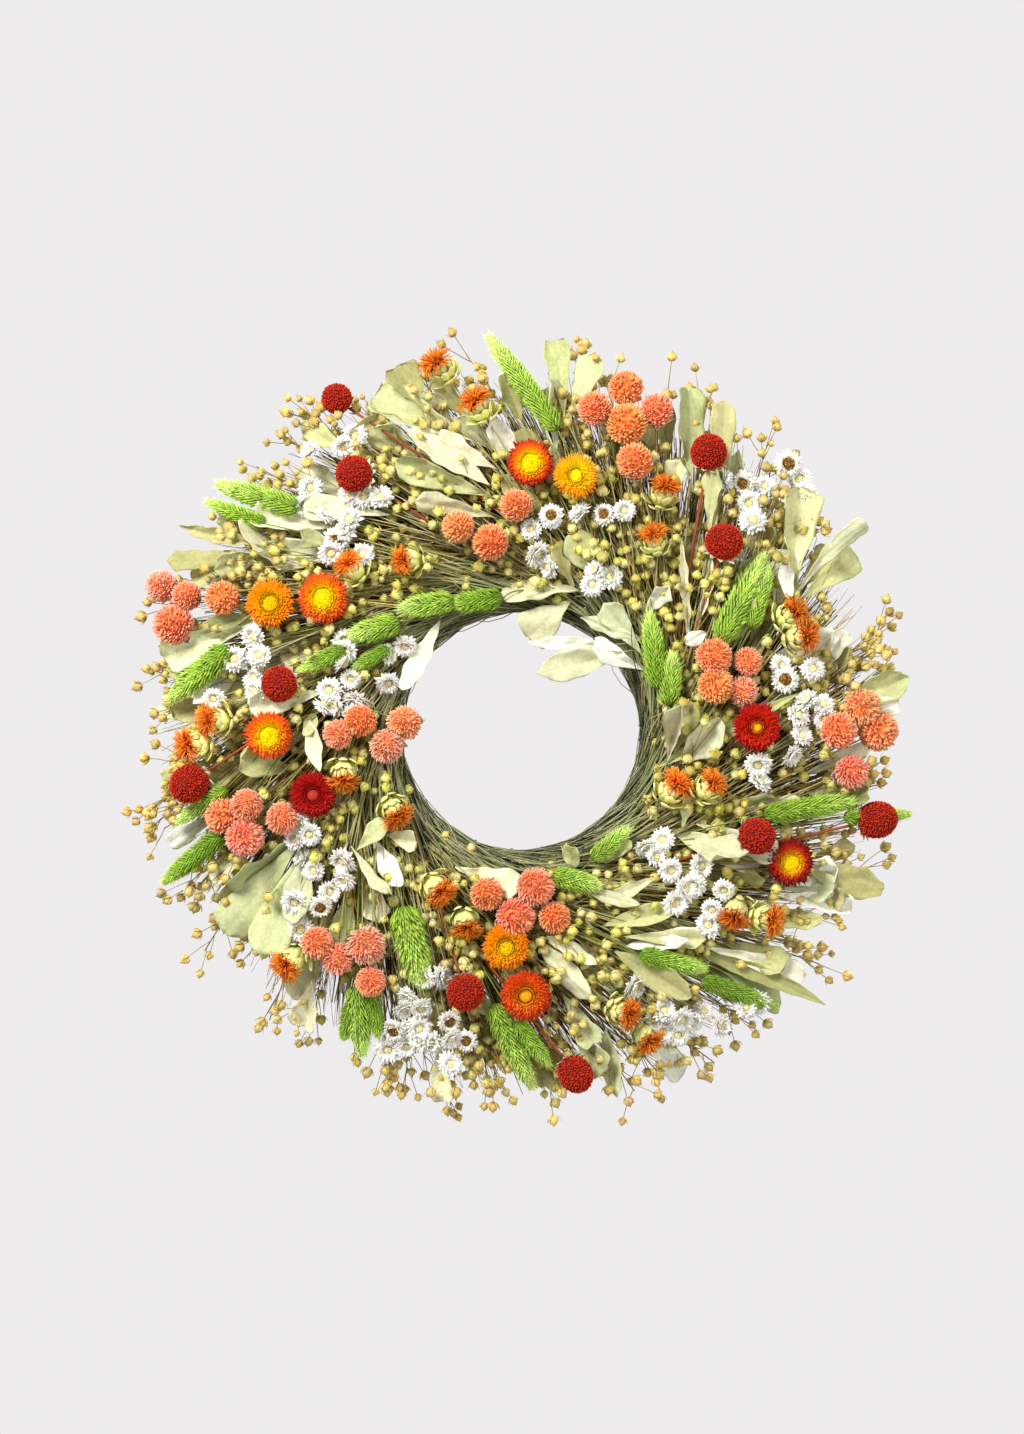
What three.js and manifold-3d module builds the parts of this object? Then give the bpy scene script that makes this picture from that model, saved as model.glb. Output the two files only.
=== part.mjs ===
// Harvest door wreath: dried flowers, seed heads and leaves bound to a double-rail wire ring.
// Millimetres, +Z up, the front faces -Y. The origin is the point inside the top of the
// hanging loop where a hook bears; the loop and the two rails share the plane y = 0.
import * as THREE from 'three';
import { mergeVertices } from 'three/addons/utils/BufferGeometryUtils.js';
import Module from 'manifold-3d';

const wasm = await Module();
wasm.setup();

// ---- Driving dimensions ---------------------------------------------------------------

const OUTER_RAIL = 108.5;        // centreline radius of the ring's outer rail
const INNER_RAIL = 94.5;         // centreline radius of its inner rail
const RAIL_WIRE = 1.5;           // radius of both rails' wire
const STRAP_COUNT = 10;          // flat welded straps across the two rails
const STRAP_WIDTH = 4;
const STRAP_FRONT = 1;           // y where a strap starts, just inside the rails' back
const DOOR_PLANE = 3.6;          // y of the straps' back faces, which lie on the door

const LOOP_HEIGHT = 32;          // outer rail centreline up to the hook's contact point
const LOOP_WIRE = 0.7;           // radius of the hanging loop's wire
const LOOP_LEG = 12;             // straight part of each leg, up from its eye
const LOOP_SHOULDER = 7;         // where the legs start to bend in, down from the top
const EYE_RADIUS = 2.8;          // centreline radius of the two eyes round the outer rail
const EYE_SPREAD = 8;            // half the distance between the two eyes

const RING_Z = -LOOP_HEIGHT - OUTER_RAIL;       // height of the ring's centre
const CORE_RADIUS = (OUTER_RAIL + INNER_RAIL) / 2;
const CORE_HALF_WIDTH = 20;      // bound stems, measured across the ring
const CORE_HALF_DEPTH = 17.5;    // and from front to back
const CORE_Y = -RAIL_WIRE - 0.5 - CORE_HALF_DEPTH;

const TIE_WIRE = 0.55;           // radius of the binding wire
const TIE_TURNS = 2 * STRAP_COUNT;
const TIE_GAP = 0.002;           // share of the way round left open at each of the wire's ends
const TIE_HALF_WIDTH = 22.5;     // the winding goes round the core and both rails
const TIE_FRONT = -39.3;
const TIE_BACK = 2.8;

const SPRAY_COUNT = 10;          // wedges of fine stems, seed heads and small white flowers
const SPRAY_INNER = 87;
const SPRAY_OUTER = 270;
const SPRAY_SCALLOP = 8;         // how far each wedge's middle reaches past its edges
const SPRAY_SPAN = 35.2;         // degrees, leaving a thin gap to the next wedge
const SPRAY_FRONT = 66;          // the front face stands this far forward at the inner edge,
const SPRAY_RISE = 40;           // rises by this much per width of the spray,
const SPRAY_FALL = 72;           // and falls by this much per width squared
const SPRAY_BACK = 8;            // the back face's gap to the rails' plane past the ring
const BACK_STEP_START = 126;     // radii between which it steps back from the bound ring
const BACK_STEP_END = 152;
const LEAN = Math.tan(THREE.MathUtils.degToRad(32));   // stems lean 32 degrees off radial

const CLEARANCE = 0.45;          // gap kept round every piece that is cut into another

const STRAWFLOWER_RADIUS = 16.5;
const DRUMSTICK_RADIUS = 11.5;
const GLOBE_RADIUS = 11;
const SPIKE_WIDTH = 15;
const LEAF_WIDTH = 19;
const LEAF_THICKNESS = 3;
const SPIKE_LIFT = 9.5;          // centreline in front of the spray's surface
const LEAF_LIFT = 5;
const GLOBE_LIFT = 12.5;
const STRAWFLOWER_LIFT = 12;
const DRUMSTICK_LIFT = 13;
const STEM_RADIUS = 1.3;
const STUB_TURN = 8;             // a head's stub of stem runs back round the ring by degrees,
const STUB_RUN = 22;             // in towards its centre
const STUB_DEPTH = 34;           // and back into the spray
const HEAD_TILT = 0.012;         // lean of a head away from its stub, per millimetre of stub
const ROOT_RADIUS = 2.4;         // several stems wired together
const ROOT_TURN = 8;             // they run back from a cluster's middle in the same way
const ROOT_RUN = 26;
const ROOT_DEPTH = 22;
const FORK_LIFT = 4;             // where they part, in front of the spray's surface
const GLOBE_FORK = [3, 6];       // degrees and millimetres from a cluster's middle to its fork
const GREENS_FORK = [4, 24];
const LEAF_JOIN = 0.2;           // share of a blade's length at which its stem enters it

// Places on the wreath are [bearing, radius]: degrees counter-clockwise from +X as seen
// from the front, and millimetres from the ring's centre.
const STRAWFLOWERS = [
  [87, 178], [78, 176], [153, 187], [146, 156], [181, 167],
  [198, 145], [0, 157], [334, 200], [266, 148], [270, 176],
];
const DRUMSTICKS = [
  [119, 257], [123, 204], [56, 225], [43, 184], [170, 165],
  [189, 224], [336, 173], [345, 247], [259, 179], [280, 233],
];
const GLOBES = [
  [[77, 220], [73, 235], [71, 214], [66, 231], [67, 194]],
  [[90, 149], [107, 142], [99, 125]],
  [[159, 261], [157, 239], [156, 217], [162, 246]],
  [[176, 108], [175, 80], [181, 122], [186, 93]],
  [[196, 211], [195, 189], [199, 170], [202, 198]],
  [[21, 137], [17, 158], [12, 132], [10, 156]],
  [[4, 232], [0, 213], [0, 238], [-7, 223]],
  [[259, 115], [275, 105], [269, 124], [280, 126]],
  [[226, 194], [232, 190], [234, 174], [239, 191]],
];
// Each blade runs from its base to its tip: [bearing, radius, bearing, radius].
const GREENS = [
  { spikes: [[83, 199, 95, 268], [98, 88, 121, 94]],
    leaves: [[104, 165, 114, 196], [78, 222, 84, 268], [69, 98, 87, 100]] },
  { spikes: [[134, 212, 141, 265], [120, 98, 136, 115]],
    leaves: [[110, 225, 122, 252], [104, 222, 112, 258], [138, 190, 146, 218]] },
  { spikes: [[165, 206, 175, 239], [138, 108, 152, 132], [156, 129, 165, 155]],
    leaves: [[147, 221, 152, 264], [162, 210, 170, 254], [125, 84, 146, 80]] },
  { spikes: [[199, 215, 203, 263], [192, 199, 194, 240]],
    leaves: [[208, 185, 214, 236], [183, 128, 189, 150]] },
  { spikes: [[237, 142, 248, 183], [240, 206, 243, 243]],
    leaves: [[212, 180, 220, 222], [222, 112, 229, 140], [230, 215, 235, 258]] },
  { spikes: [[264, 187, 272, 240], [282, 100, 297, 114]],
    leaves: [[255, 215, 259, 262], [249, 98, 264, 99], [276, 150, 287, 170]] },
  { spikes: [[299, 172, 309, 199], [306, 209, 314, 258], [300, 94, 318, 96]],
    leaves: [[294, 130, 306, 165], [292, 225, 298, 268], [311, 222, 318, 262]] },
  { spikes: [[341, 173, 346, 221], [347, 210, 348, 268]],
    leaves: [[326, 135, 334, 168], [331, 215, 336, 268]] },
  { spikes: [[24, 147, 37, 200], [26, 102, 42, 115], [9, 104, 27, 113]],
    leaves: [[-3, 112, 4, 135], [28, 215, 36, 262], [34, 135, 42, 163]] },
  { spikes: [],
    leaves: [[54, 205, 58, 262], [60, 212, 66, 258], [40, 92, 69, 50]] },
];

// ---- Materials ------------------------------------------------------------------------

function finish(color, roughness, metalness = 0) {
  return new THREE.MeshStandardMaterial({ color, roughness, metalness });
}

const GREEN_WIRE = finish(0x2f4a35, 0.5, 0.4);
const BRIGHT_WIRE = finish(0x8d8f8a, 0.35, 1);
const BOUND_STEMS = finish(0x6f7048, 0.85);
const FINE_STEMS = finish(0x9c8c4e, 0.9);
const GREENERY = finish(0x86a848, 0.75);
const CORAL = finish(0xe57757, 0.7);
const DARK_RED = finish(0x9b1c14, 0.8);
const PETALS = [0xd8380f, 0xf2a81c, 0xf28c1a, 0xd8380f, 0xf28c1a,
  0xa01010, 0xc41a0c, 0xb01a12, 0xf28c1a, 0xdc4a10];

// ---- Solids ---------------------------------------------------------------------------

/** A closed geometry as a manifold solid, turned right side out. */
function solid(geometry) {
  const bare = geometry.clone();
  bare.deleteAttribute('normal');
  bare.deleteAttribute('uv');
  const merged = mergeVertices(bare, 1e-3);
  const vertProperties = new Float32Array(merged.attributes.position.array);
  const triVerts = new Uint32Array(merged.index.array);
  const body = new wasm.Manifold(new wasm.Mesh({ numProp: 3, vertProperties, triVerts }));
  if (body.volume() > 0) return body;
  const flipped = triVerts.map((_, i) => triVerts[i - (i % 3) + (2 - (i % 3))]);
  return new wasm.Manifold(new wasm.Mesh({ numProp: 3, vertProperties, triVerts: flipped }));
}

function geometryOf(body) {
  const mesh = body.getMesh();
  const geometry = new THREE.BufferGeometry();
  geometry.setAttribute('position', new THREE.BufferAttribute(mesh.vertProperties, 3));
  geometry.setIndex(new THREE.BufferAttribute(mesh.triVerts, 1));
  geometry.computeVertexNormals();
  return geometry;
}

function union(bodies) {
  return bodies.reduce((whole, body) => whole.add(body));
}

function largest(body) {
  return body.decompose().reduce((best, piece) => (piece.volume() > best.volume() ? piece : best));
}

function boxesTouch(a, b) {
  const [p, q] = [a.boundingBox(), b.boundingBox()];
  return [0, 1, 2].every((k) => p.min[k] < q.max[k] && q.min[k] < p.max[k]);
}

/** A body with room cut in it for every grown neighbour that reaches it. */
function cutRoom(body, neighbours) {
  const near = neighbours.filter((other) => boxesTouch(body, other));
  return largest(near.reduce((rest, other) => rest.subtract(other), body));
}

// ---- Shapes ---------------------------------------------------------------------------

function polar(bearing, radius, y) {
  const angle = THREE.MathUtils.degToRad(bearing);
  return new THREE.Vector3(radius * Math.cos(angle), y, RING_Z + radius * Math.sin(angle));
}

/** A ring round the wreath's axis with an elliptical section. */
function ring(radius, halfWidth, halfDepth, y, sides, segments) {
  const profile = [];
  for (let i = 0; i <= sides; i += 1) {
    const angle = (i % sides) * 2 * Math.PI / sides;
    profile.push(new THREE.Vector2(
      radius + halfWidth * Math.cos(angle), halfDepth * Math.sin(angle)));
  }
  return new THREE.LatheGeometry(profile, segments).translate(0, y, RING_Z);
}

function polygon(radius, sides) {
  const corners = [];
  for (let i = 0; i < sides; i += 1) {
    const angle = (i + 0.5) * 2 * Math.PI / sides;
    corners.push(new THREE.Vector2(radius * Math.cos(angle), radius * Math.sin(angle)));
  }
  return new THREE.Shape(corners);
}

function tubeAlong(path, radius, sides, steps) {
  return new THREE.ExtrudeGeometry(polygon(radius, sides),
    { steps, bevelEnabled: false, extrudePath: path });
}

function stem(from, to, radius) {
  return solid(tubeAlong(new THREE.LineCurve3(from, to), radius, 4, 1));
}

/** A lathe body one long and one wide, stretched from base to tip and flattened. */
function blade(profile, base, tip, width, thickness, sides = 4) {
  const points = profile.map(([across, along]) => new THREE.Vector2(across / 2, along));
  const along = tip.clone().sub(base);
  const length = along.length();
  along.normalize();
  const side = new THREE.Vector3(0, -1, 0).cross(along).normalize();
  const facing = side.clone().cross(along);
  const turn = new THREE.Matrix4().makeBasis(side, along, facing).setPosition(base);
  const geometry = new THREE.LatheGeometry(points, sides);
  geometry.scale(width, length, thickness);
  return solid(geometry.applyMatrix4(turn));
}

const SPIKE = {
  profile: [[0, 0], [0.95, 0.12], [1, 0.62], [0, 1]],
  width: SPIKE_WIDTH,
  thickness: SPIKE_WIDTH,
  lift: SPIKE_LIFT,
};
const LEAF = {
  profile: [[0, 0], [1, 0.55], [0.8, 0.85], [0, 1]],
  width: LEAF_WIDTH,
  thickness: LEAF_THICKNESS,
  lift: LEAF_LIFT,
};

function stretch(base, tip, by) {
  const along = tip.clone().sub(base).normalize().multiplyScalar(by);
  return [base.clone().sub(along), tip.clone().add(along)];
}

/** Front surface of the sprays: y at a radius from the ring's centre. */
function frontOf(radius) {
  const out = (radius - SPRAY_INNER) / (SPRAY_OUTER - SPRAY_INNER);
  return -(SPRAY_FRONT + SPRAY_RISE * out - SPRAY_FALL * out * out);
}

/** Back surface: in front of the bound ring, then close to the door beyond it. */
function backOf(radius) {
  const past = THREE.MathUtils.smoothstep(radius, BACK_STEP_START, BACK_STEP_END);
  return THREE.MathUtils.lerp(TIE_FRONT - TIE_WIRE - 0.8, -SPRAY_BACK, past);
}

/** How far, in degrees, a leaning stem has turned by the time it reaches a radius. */
function swirl(radius) {
  return THREE.MathUtils.radToDeg(LEAN * Math.log(radius / SPRAY_INNER));
}

// ---- Ring, loop and winding -------------------------------------------------------------

function wireFrame() {
  const rails = [INNER_RAIL, OUTER_RAIL].map(
    (radius) => solid(ring(radius, RAIL_WIRE, RAIL_WIRE, 0, 6, 40)));
  const straps = [];
  const length = OUTER_RAIL - INNER_RAIL + 4 * RAIL_WIRE;
  for (let i = 0; i < STRAP_COUNT; i += 1) {
    const thickness = DOOR_PLANE - STRAP_FRONT;
    const strap = new THREE.BoxGeometry(length, thickness, STRAP_WIDTH);
    strap.translate(CORE_RADIUS, STRAP_FRONT + thickness / 2, 0);
    strap.rotateY(-Math.PI / 2 - i * 2 * Math.PI / STRAP_COUNT);
    straps.push(solid(strap.translate(0, 0, RING_Z)));
  }
  return union([...rails, ...straps]);
}

function hangingLoop(grow = 0) {
  const radius = LOOP_WIRE + grow;
  const rail = -LOOP_HEIGHT;
  const eyes = [-EYE_SPREAD, EYE_SPREAD].map((x) => solid(
    new THREE.TorusGeometry(EYE_RADIUS, radius, 6, 14).rotateY(Math.PI / 2).translate(x, 0, rail)));
  const foot = rail + EYE_RADIUS;
  const top = LOOP_WIRE;
  const arch = new THREE.CatmullRomCurve3([
    new THREE.Vector3(-EYE_SPREAD, 0, foot),
    new THREE.Vector3(-EYE_SPREAD, 0, foot + LOOP_LEG),
    new THREE.Vector3(-EYE_SPREAD * 0.86, 0, top - LOOP_SHOULDER),
    new THREE.Vector3(-EYE_SPREAD * 0.5, 0, top - 1.6),
    new THREE.Vector3(0, 0, top),
    new THREE.Vector3(EYE_SPREAD * 0.5, 0, top - 1.6),
    new THREE.Vector3(EYE_SPREAD * 0.86, 0, top - LOOP_SHOULDER),
    new THREE.Vector3(EYE_SPREAD, 0, foot + LOOP_LEG),
    new THREE.Vector3(EYE_SPREAD, 0, foot),
  ]);
  return union([...eyes, solid(tubeAlong(arch, radius, 6, 22))]);
}

function stemCore() {
  const core = solid(ring(CORE_RADIUS, CORE_HALF_WIDTH, CORE_HALF_DEPTH, CORE_Y, 10, 40));
  return cutRoom(core, [hangingLoop(CLEARANCE + 0.15)]);
}

/** The binding wire's route: a winding with a rounded-square section, front at each strap. */
class TiePath extends THREE.Curve {
  getPoint(t) {
    const wound = TIE_GAP + (1 - 2 * TIE_GAP) * t;
    const phase = TIE_TURNS * 2 * Math.PI * wound;
    const across = superEllipse(Math.sin(phase)) * TIE_HALF_WIDTH;
    const middle = (TIE_FRONT + TIE_BACK) / 2;
    const depth = superEllipse(Math.cos(phase)) * (TIE_FRONT - TIE_BACK) / 2;
    return polar(90 + 360 * wound, CORE_RADIUS + across, middle + depth);
  }
}

function superEllipse(value) {
  return Math.sign(value) * Math.abs(value) ** (2 / 3);
}

function bindingWire() {
  const path = new TiePath();
  path.arcLengthDivisions = TIE_TURNS * 60;
  return solid(tubeAlong(path, TIE_WIRE, 4, TIE_TURNS * 11));
}

// ---- Heads and greens -------------------------------------------------------------------

/** A round head of a given profile on a stub of stem that runs back into the spray. */
function head([bearing, radius], profile, size, lift, grow) {
  const y = frontOf(radius) - lift;
  const centre = polar(bearing, radius, y);
  const root = polar(bearing - STUB_TURN, radius - STUB_RUN, y + STUB_DEPTH);
  const points = profile.map(([across, along]) => new THREE.Vector2(
    across * (size + grow), along * (size + grow)));
  const lathe = new THREE.LatheGeometry(points, 10);
  const outward = centre.clone().sub(root).setY(0);
  const facing = new THREE.Vector3(0, -1, 0).addScaledVector(outward, HEAD_TILT).normalize();
  const turn = new THREE.Quaternion().setFromUnitVectors(new THREE.Vector3(0, 1, 0), facing);
  lathe.applyQuaternion(turn).translate(centre.x, centre.y, centre.z);
  return solid(lathe).add(stem(...stretch(root, centre, grow), STEM_RADIUS + grow));
}

const FLAT_HEAD = [[0, -0.62], [0.5, -0.5], [0.96, -0.1], [0.86, 0.2], [0.4, 0.42], [0, 0.46]];
const ROUND_HEAD = [[0, -1], [0.8, -0.6], [1, 0.1], [0.6, 0.8], [0, 1]];

/** The gathered stems of a cluster, running back from its fork into the spray. */
function root(fork, bearing, radius, grow) {
  const inner = Math.max(radius - ROOT_RUN, SPRAY_INNER + 4);
  const end = polar(bearing - ROOT_TURN, inner, frontOf(radius) + ROOT_DEPTH);
  return stem(...stretch(end, fork, grow + 1), ROOT_RADIUS + grow);
}

/** The mean bearing and radius of several places. */
function middleOf(places) {
  return [0, 1].map((k) => places.reduce((sum, place) => sum + place[k], 0) / places.length);
}

/** Round heads on short stems from one fork. */
function globeCluster(places, grow) {
  const [bearing, radius] = middleOf(places);
  const fork = polar(bearing - GLOBE_FORK[0], radius - GLOBE_FORK[1], frontOf(radius) - FORK_LIFT);
  const bodies = [root(fork, bearing, radius, grow)];
  for (const place of places) {
    const centre = polar(...place, frontOf(place[1]) - GLOBE_LIFT);
    const points = ROUND_HEAD.map(([across, along]) => new THREE.Vector2(
      across * (GLOBE_RADIUS + grow), along * (GLOBE_RADIUS + grow)));
    const ball = new THREE.LatheGeometry(points, 6).rotateX(-Math.PI / 2);
    bodies.push(solid(ball.translate(centre.x, centre.y, centre.z)));
    bodies.push(stem(...stretch(fork, centre, grow + 0.5), STEM_RADIUS + grow));
  }
  return union(bodies);
}

/** Leaves and grass spikes that share one foot in the spray. */
function greens({ spikes, leaves }, grow) {
  const [middleBearing, middleRadius] = middleOf([...spikes, ...leaves]);
  const bearing = middleBearing - GREENS_FORK[0];
  const radius = Math.max(middleRadius - GREENS_FORK[1], SPRAY_INNER + 12);
  const foot = polar(bearing, radius, frontOf(radius) - FORK_LIFT);
  const bodies = [root(foot, bearing, radius, grow)];
  const addBlade = ([fromBearing, fromRadius, toBearing, toRadius], kind) => {
    const base = polar(fromBearing, fromRadius, frontOf(fromRadius) - kind.lift);
    const tip = polar(toBearing, toRadius, frontOf(Math.min(toRadius, SPRAY_OUTER)) - kind.lift);
    const width = kind.width + 2 * grow;
    const thickness = kind.thickness + 2.3 * grow;
    bodies.push(blade(kind.profile, ...stretch(base, tip, 2 * grow), width, thickness));
    const inside = base.clone().lerp(tip, LEAF_JOIN);
    bodies.push(stem(...stretch(foot, inside, grow + 0.5), STEM_RADIUS + grow));
  };
  spikes.forEach((run) => addBlade(run, SPIKE));
  leaves.forEach((run) => addBlade(run, LEAF));
  return union(bodies);
}

/** One leaning wedge of fine stems and seed heads. */
function spray(index) {
  const box = new THREE.BoxGeometry(1, 1, 1, 4, 1, 6);
  const place = box.attributes.position;
  const start = 90 + index * 360 / SPRAY_COUNT - SPRAY_SPAN / 2;
  for (let i = 0; i < place.count; i += 1) {
    const across = place.getX(i) + 0.5;
    const out = place.getZ(i) + 0.5;
    const reach = SPRAY_OUTER - SPRAY_INNER + SPRAY_SCALLOP * Math.sin(Math.PI * across);
    const radius = SPRAY_INNER + out * reach;
    const y = place.getY(i) > 0 ? backOf(radius) : frontOf(radius);
    const point = polar(start + across * SPRAY_SPAN + swirl(radius), radius, y);
    place.setXYZ(i, point.x, point.y, point.z);
  }
  return solid(box);
}

// ---- The wreath -------------------------------------------------------------------------

const wreath = new THREE.Group();

function addMesh(name, body, material) {
  const mesh = new THREE.Mesh(geometryOf(body), material);
  mesh.name = name;
  wreath.add(mesh);
}

function numbered(name, index) {
  return `${name}_${String(index + 1).padStart(2, '0')}`;
}

addMesh('wire_frame', wireFrame(), GREEN_WIRE);
addMesh('hanging_loop', hangingLoop(), BRIGHT_WIRE);
addMesh('stem_core', stemCore(), BOUND_STEMS);
addMesh('binding_wire', bindingWire(), GREEN_WIRE);

const taken = [];      // grown copies of every piece already in place

/** Adds one numbered mesh per place, each cut to clear everything placed before it. */
function addPieces(name, places, make, materialOf) {
  places.forEach((place, index) => {
    const body = cutRoom(make(place, 0), taken);
    addMesh(numbered(name, index), body, materialOf(index));
    taken.push(make(place, CLEARANCE));
  });
}

addPieces('drumstick', DRUMSTICKS,
  (place, grow) => head(place, ROUND_HEAD, DRUMSTICK_RADIUS, DRUMSTICK_LIFT, grow),
  () => DARK_RED);
addPieces('strawflower', STRAWFLOWERS,
  (place, grow) => head(place, FLAT_HEAD, STRAWFLOWER_RADIUS, STRAWFLOWER_LIFT, grow),
  (index) => finish(PETALS[index], 0.55));
addPieces('globes', GLOBES, globeCluster, () => CORAL);
addPieces('greens', GREENS, greens, () => GREENERY);

for (let i = 0; i < SPRAY_COUNT; i += 1) {
  addMesh(numbered('spray', i), cutRoom(spray(i), taken), FINE_STEMS);
}

export default wreath;
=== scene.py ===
"""Harvest door wreath: dried flowers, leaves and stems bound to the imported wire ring.

Lengths are millimetres in the CAD frame until a mesh is made, which is in metres.
A place on the wreath is a bearing in degrees, counter-clockwise from +X as seen from
the front, and a radius from the ring's centre.
"""
import math

import bpy
import numpy as np
from mathutils import Matrix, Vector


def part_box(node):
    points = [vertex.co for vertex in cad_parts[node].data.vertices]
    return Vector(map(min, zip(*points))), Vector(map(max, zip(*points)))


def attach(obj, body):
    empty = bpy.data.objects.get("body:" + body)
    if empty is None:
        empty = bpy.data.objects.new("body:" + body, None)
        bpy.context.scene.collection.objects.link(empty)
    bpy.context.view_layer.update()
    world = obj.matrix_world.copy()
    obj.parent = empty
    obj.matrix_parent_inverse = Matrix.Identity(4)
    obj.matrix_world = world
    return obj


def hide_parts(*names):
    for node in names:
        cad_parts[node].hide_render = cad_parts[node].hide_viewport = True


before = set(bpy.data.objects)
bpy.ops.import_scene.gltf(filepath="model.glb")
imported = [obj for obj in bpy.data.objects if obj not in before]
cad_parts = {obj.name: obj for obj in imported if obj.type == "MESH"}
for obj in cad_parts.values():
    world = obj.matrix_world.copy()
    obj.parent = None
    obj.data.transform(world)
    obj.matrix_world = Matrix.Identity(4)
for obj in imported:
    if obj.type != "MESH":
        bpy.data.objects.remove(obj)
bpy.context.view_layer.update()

MM = 0.001
rng = np.random.default_rng(20)


# ---- Places taken from the frame ----------------------------------------------------

def box_mm(node):
    """A node's lowest and highest corners, in millimetres."""
    return [np.array(corner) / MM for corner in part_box(node)]


frame_low, frame_high = box_mm("wire_frame")
core_low, core_high = box_mm("stem_core")
wire_low = box_mm("binding_wire")[0]
loop_low, loop_high = box_mm("hanging_loop")

RING_CENTRE = (core_low + core_high) / 2
RING_OUTSIDE = (frame_high[0] - frame_low[0]) / 2
RAIL_WIRE = 1.5          # wires are given by their radius
RAIL_GAP = 14            # from one rail's middle to the other's
WINDING_WIRE = 0.45
OUTER_RAIL = RING_OUTSIDE - RAIL_WIRE
INNER_RAIL = OUTER_RAIL - RAIL_GAP
DOOR_PLANE = frame_high[1]
CORE_RADIUS = (OUTER_RAIL + INNER_RAIL) / 2
CORE_HALF_WIDTH = (core_high[0] - core_low[0]) / 2 - CORE_RADIUS
CORE_HALF_DEPTH = (core_high[1] - core_low[1]) / 2
SPRAY_FRONT, SPRAY_BACK = (corner[1] for corner in box_mm("spray_01"))
SPRAY_INNER = 87
SPRAY_OUTER = 270
CREST = 0.28             # where, from inner to outer edge, the sprays stand foremost
FALL = 72                # how fast they fall back on both sides of that crest
LEVEL_INSIDE = 95        # within this radius their front surface stays level
RING_COVERED = 126       # the sprays lie in front of the bound ring out to this radius
STEP_BACK = 26           # and beyond it step back towards the door over this distance
TANGENT_RADIUS = 98      # stems leave the ring as straight lines that graze this circle
GRAZE_SPREAD = 11        # how unevenly they graze it
GRAZE_RANGE = (88, 122)  # and the least and greatest radius at which they do
FOOT_DEPTH = -14         # the nearest to the door that they start
EARLY = 0.2              # the share of their change in depth that they make early
LEAN_INSIDE = 100        # within this radius all stems lean alike
STEM_END_INSIDE = 102    # a flower's own stem ends no nearer the centre
BUNDLES = 10
BUNDLE_SPAN = 360 / BUNDLES
UP = np.array([0.0, 0, 1])
FORWARD = np.array([0.0, -1, 0])


def polar(bearing, radius, y):
    """Points at bearings and radii round the ring's centre."""
    angle = np.radians(bearing)
    x = RING_CENTRE[0] + radius * np.cos(angle)
    z = RING_CENTRE[2] + radius * np.sin(angle)
    return np.stack(np.broadcast_arrays(x, y, z), axis=-1).astype(float)


def front_of(radius):
    """Depth of the sprays' front surface at a radius."""
    radius = np.maximum(radius, LEVEL_INSIDE)
    out = (radius - SPRAY_INNER) / (SPRAY_OUTER - SPRAY_INNER)
    return SPRAY_FRONT + FALL * (np.clip(out, 0, 1.05) - CREST) ** 2


def back_of(radius):
    """Depth of their back: in front of the bound ring, then near the door."""
    past = np.clip((radius - RING_COVERED) / STEP_BACK, 0, 1)
    return wire_low[1] + (SPRAY_BACK - wire_low[1]) * past * past * (3 - 2 * past)


def turned(radius):
    """Degrees a straight stem has gone round by the time it reaches a radius."""
    return np.degrees(np.arccos(np.clip(TANGENT_RADIUS / radius, -1, 1)))


def bundle_of(bearing, radius):
    """Which of the ten bundles a place belongs to."""
    foot = bearing - turned(radius)
    return int(((foot + BUNDLE_SPAN / 2) % 360) // BUNDLE_SPAN)


# ---- Shapes -------------------------------------------------------------------------

class Shape:
    """Points, quads, triangles, a linear colour and a surface place for each point."""

    def __init__(self, points, quads=(), tris=(), tint=(1, 1, 1), place=None):
        self.points = np.asarray(points, float).reshape(-1, 3)
        self.quads = np.asarray(quads, int).reshape(-1, 4)
        self.tris = np.asarray(tris, int).reshape(-1, 3)
        self.tint = np.array(np.broadcast_to(tint, self.points.shape), float)
        self.place = np.zeros((len(self.points), 2)) if place is None else place

    def tinted(self, tint):
        """The same shape in one colour."""
        return Shape(self.points, self.quads, self.tris, tint, self.place)


def join(shapes):
    """One shape from several."""
    starts = np.cumsum([0] + [len(shape.points) for shape in shapes[:-1]])
    return Shape(
        np.concatenate([shape.points for shape in shapes]),
        np.concatenate([shape.quads + start for shape, start in zip(shapes, starts)]),
        np.concatenate([shape.tris + start for shape, start in zip(shapes, starts)]),
        np.concatenate([shape.tint for shape in shapes]),
        np.concatenate([shape.place for shape in shapes]))


def stamp(shape, axes, places, sizes=1.0, tints=None):
    """Copies of a shape; axes holds each copy's local x, y and z as columns."""
    places = np.reshape(places, (-1, 3))
    count = len(places)
    sized = shape.points[None] * np.broadcast_to(sizes, count)[:, None, None]
    points = np.einsum("kij,knj->kni", axes, sized) + places[:, None]
    starts = (np.arange(count) * len(shape.points))[:, None, None]
    tint = np.repeat(shape.tint[None], count, axis=0)
    if tints is not None:
        tint = tint * np.reshape(tints, (count, 1, 3))
    return Shape(
        points.reshape(-1, 3),
        (shape.quads[None] + starts).reshape(-1, 4),
        (shape.tris[None] + starts).reshape(-1, 3),
        tint.reshape(-1, 3),
        np.tile(shape.place, (count, 1)))


def unit(vectors):
    """Vectors brought to a length of one."""
    length = np.linalg.norm(vectors, axis=-1, keepdims=True)
    return vectors / np.maximum(length, 1e-9)


def axes_from(facing, along):
    """Axes with z along facing and y as near as can be to along."""
    z = unit(facing)
    x = unit(np.cross(along, z))
    y = np.cross(z, x)
    return np.stack([x, y, z], axis=-1)


def any_axes(facing, count=1):
    """Axes for heads that face given ways, each turned at random about its facing."""
    facing = np.broadcast_to(unit(facing), (count, 3))
    return axes_from(facing, rng.normal(size=(count, 3)))


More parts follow.
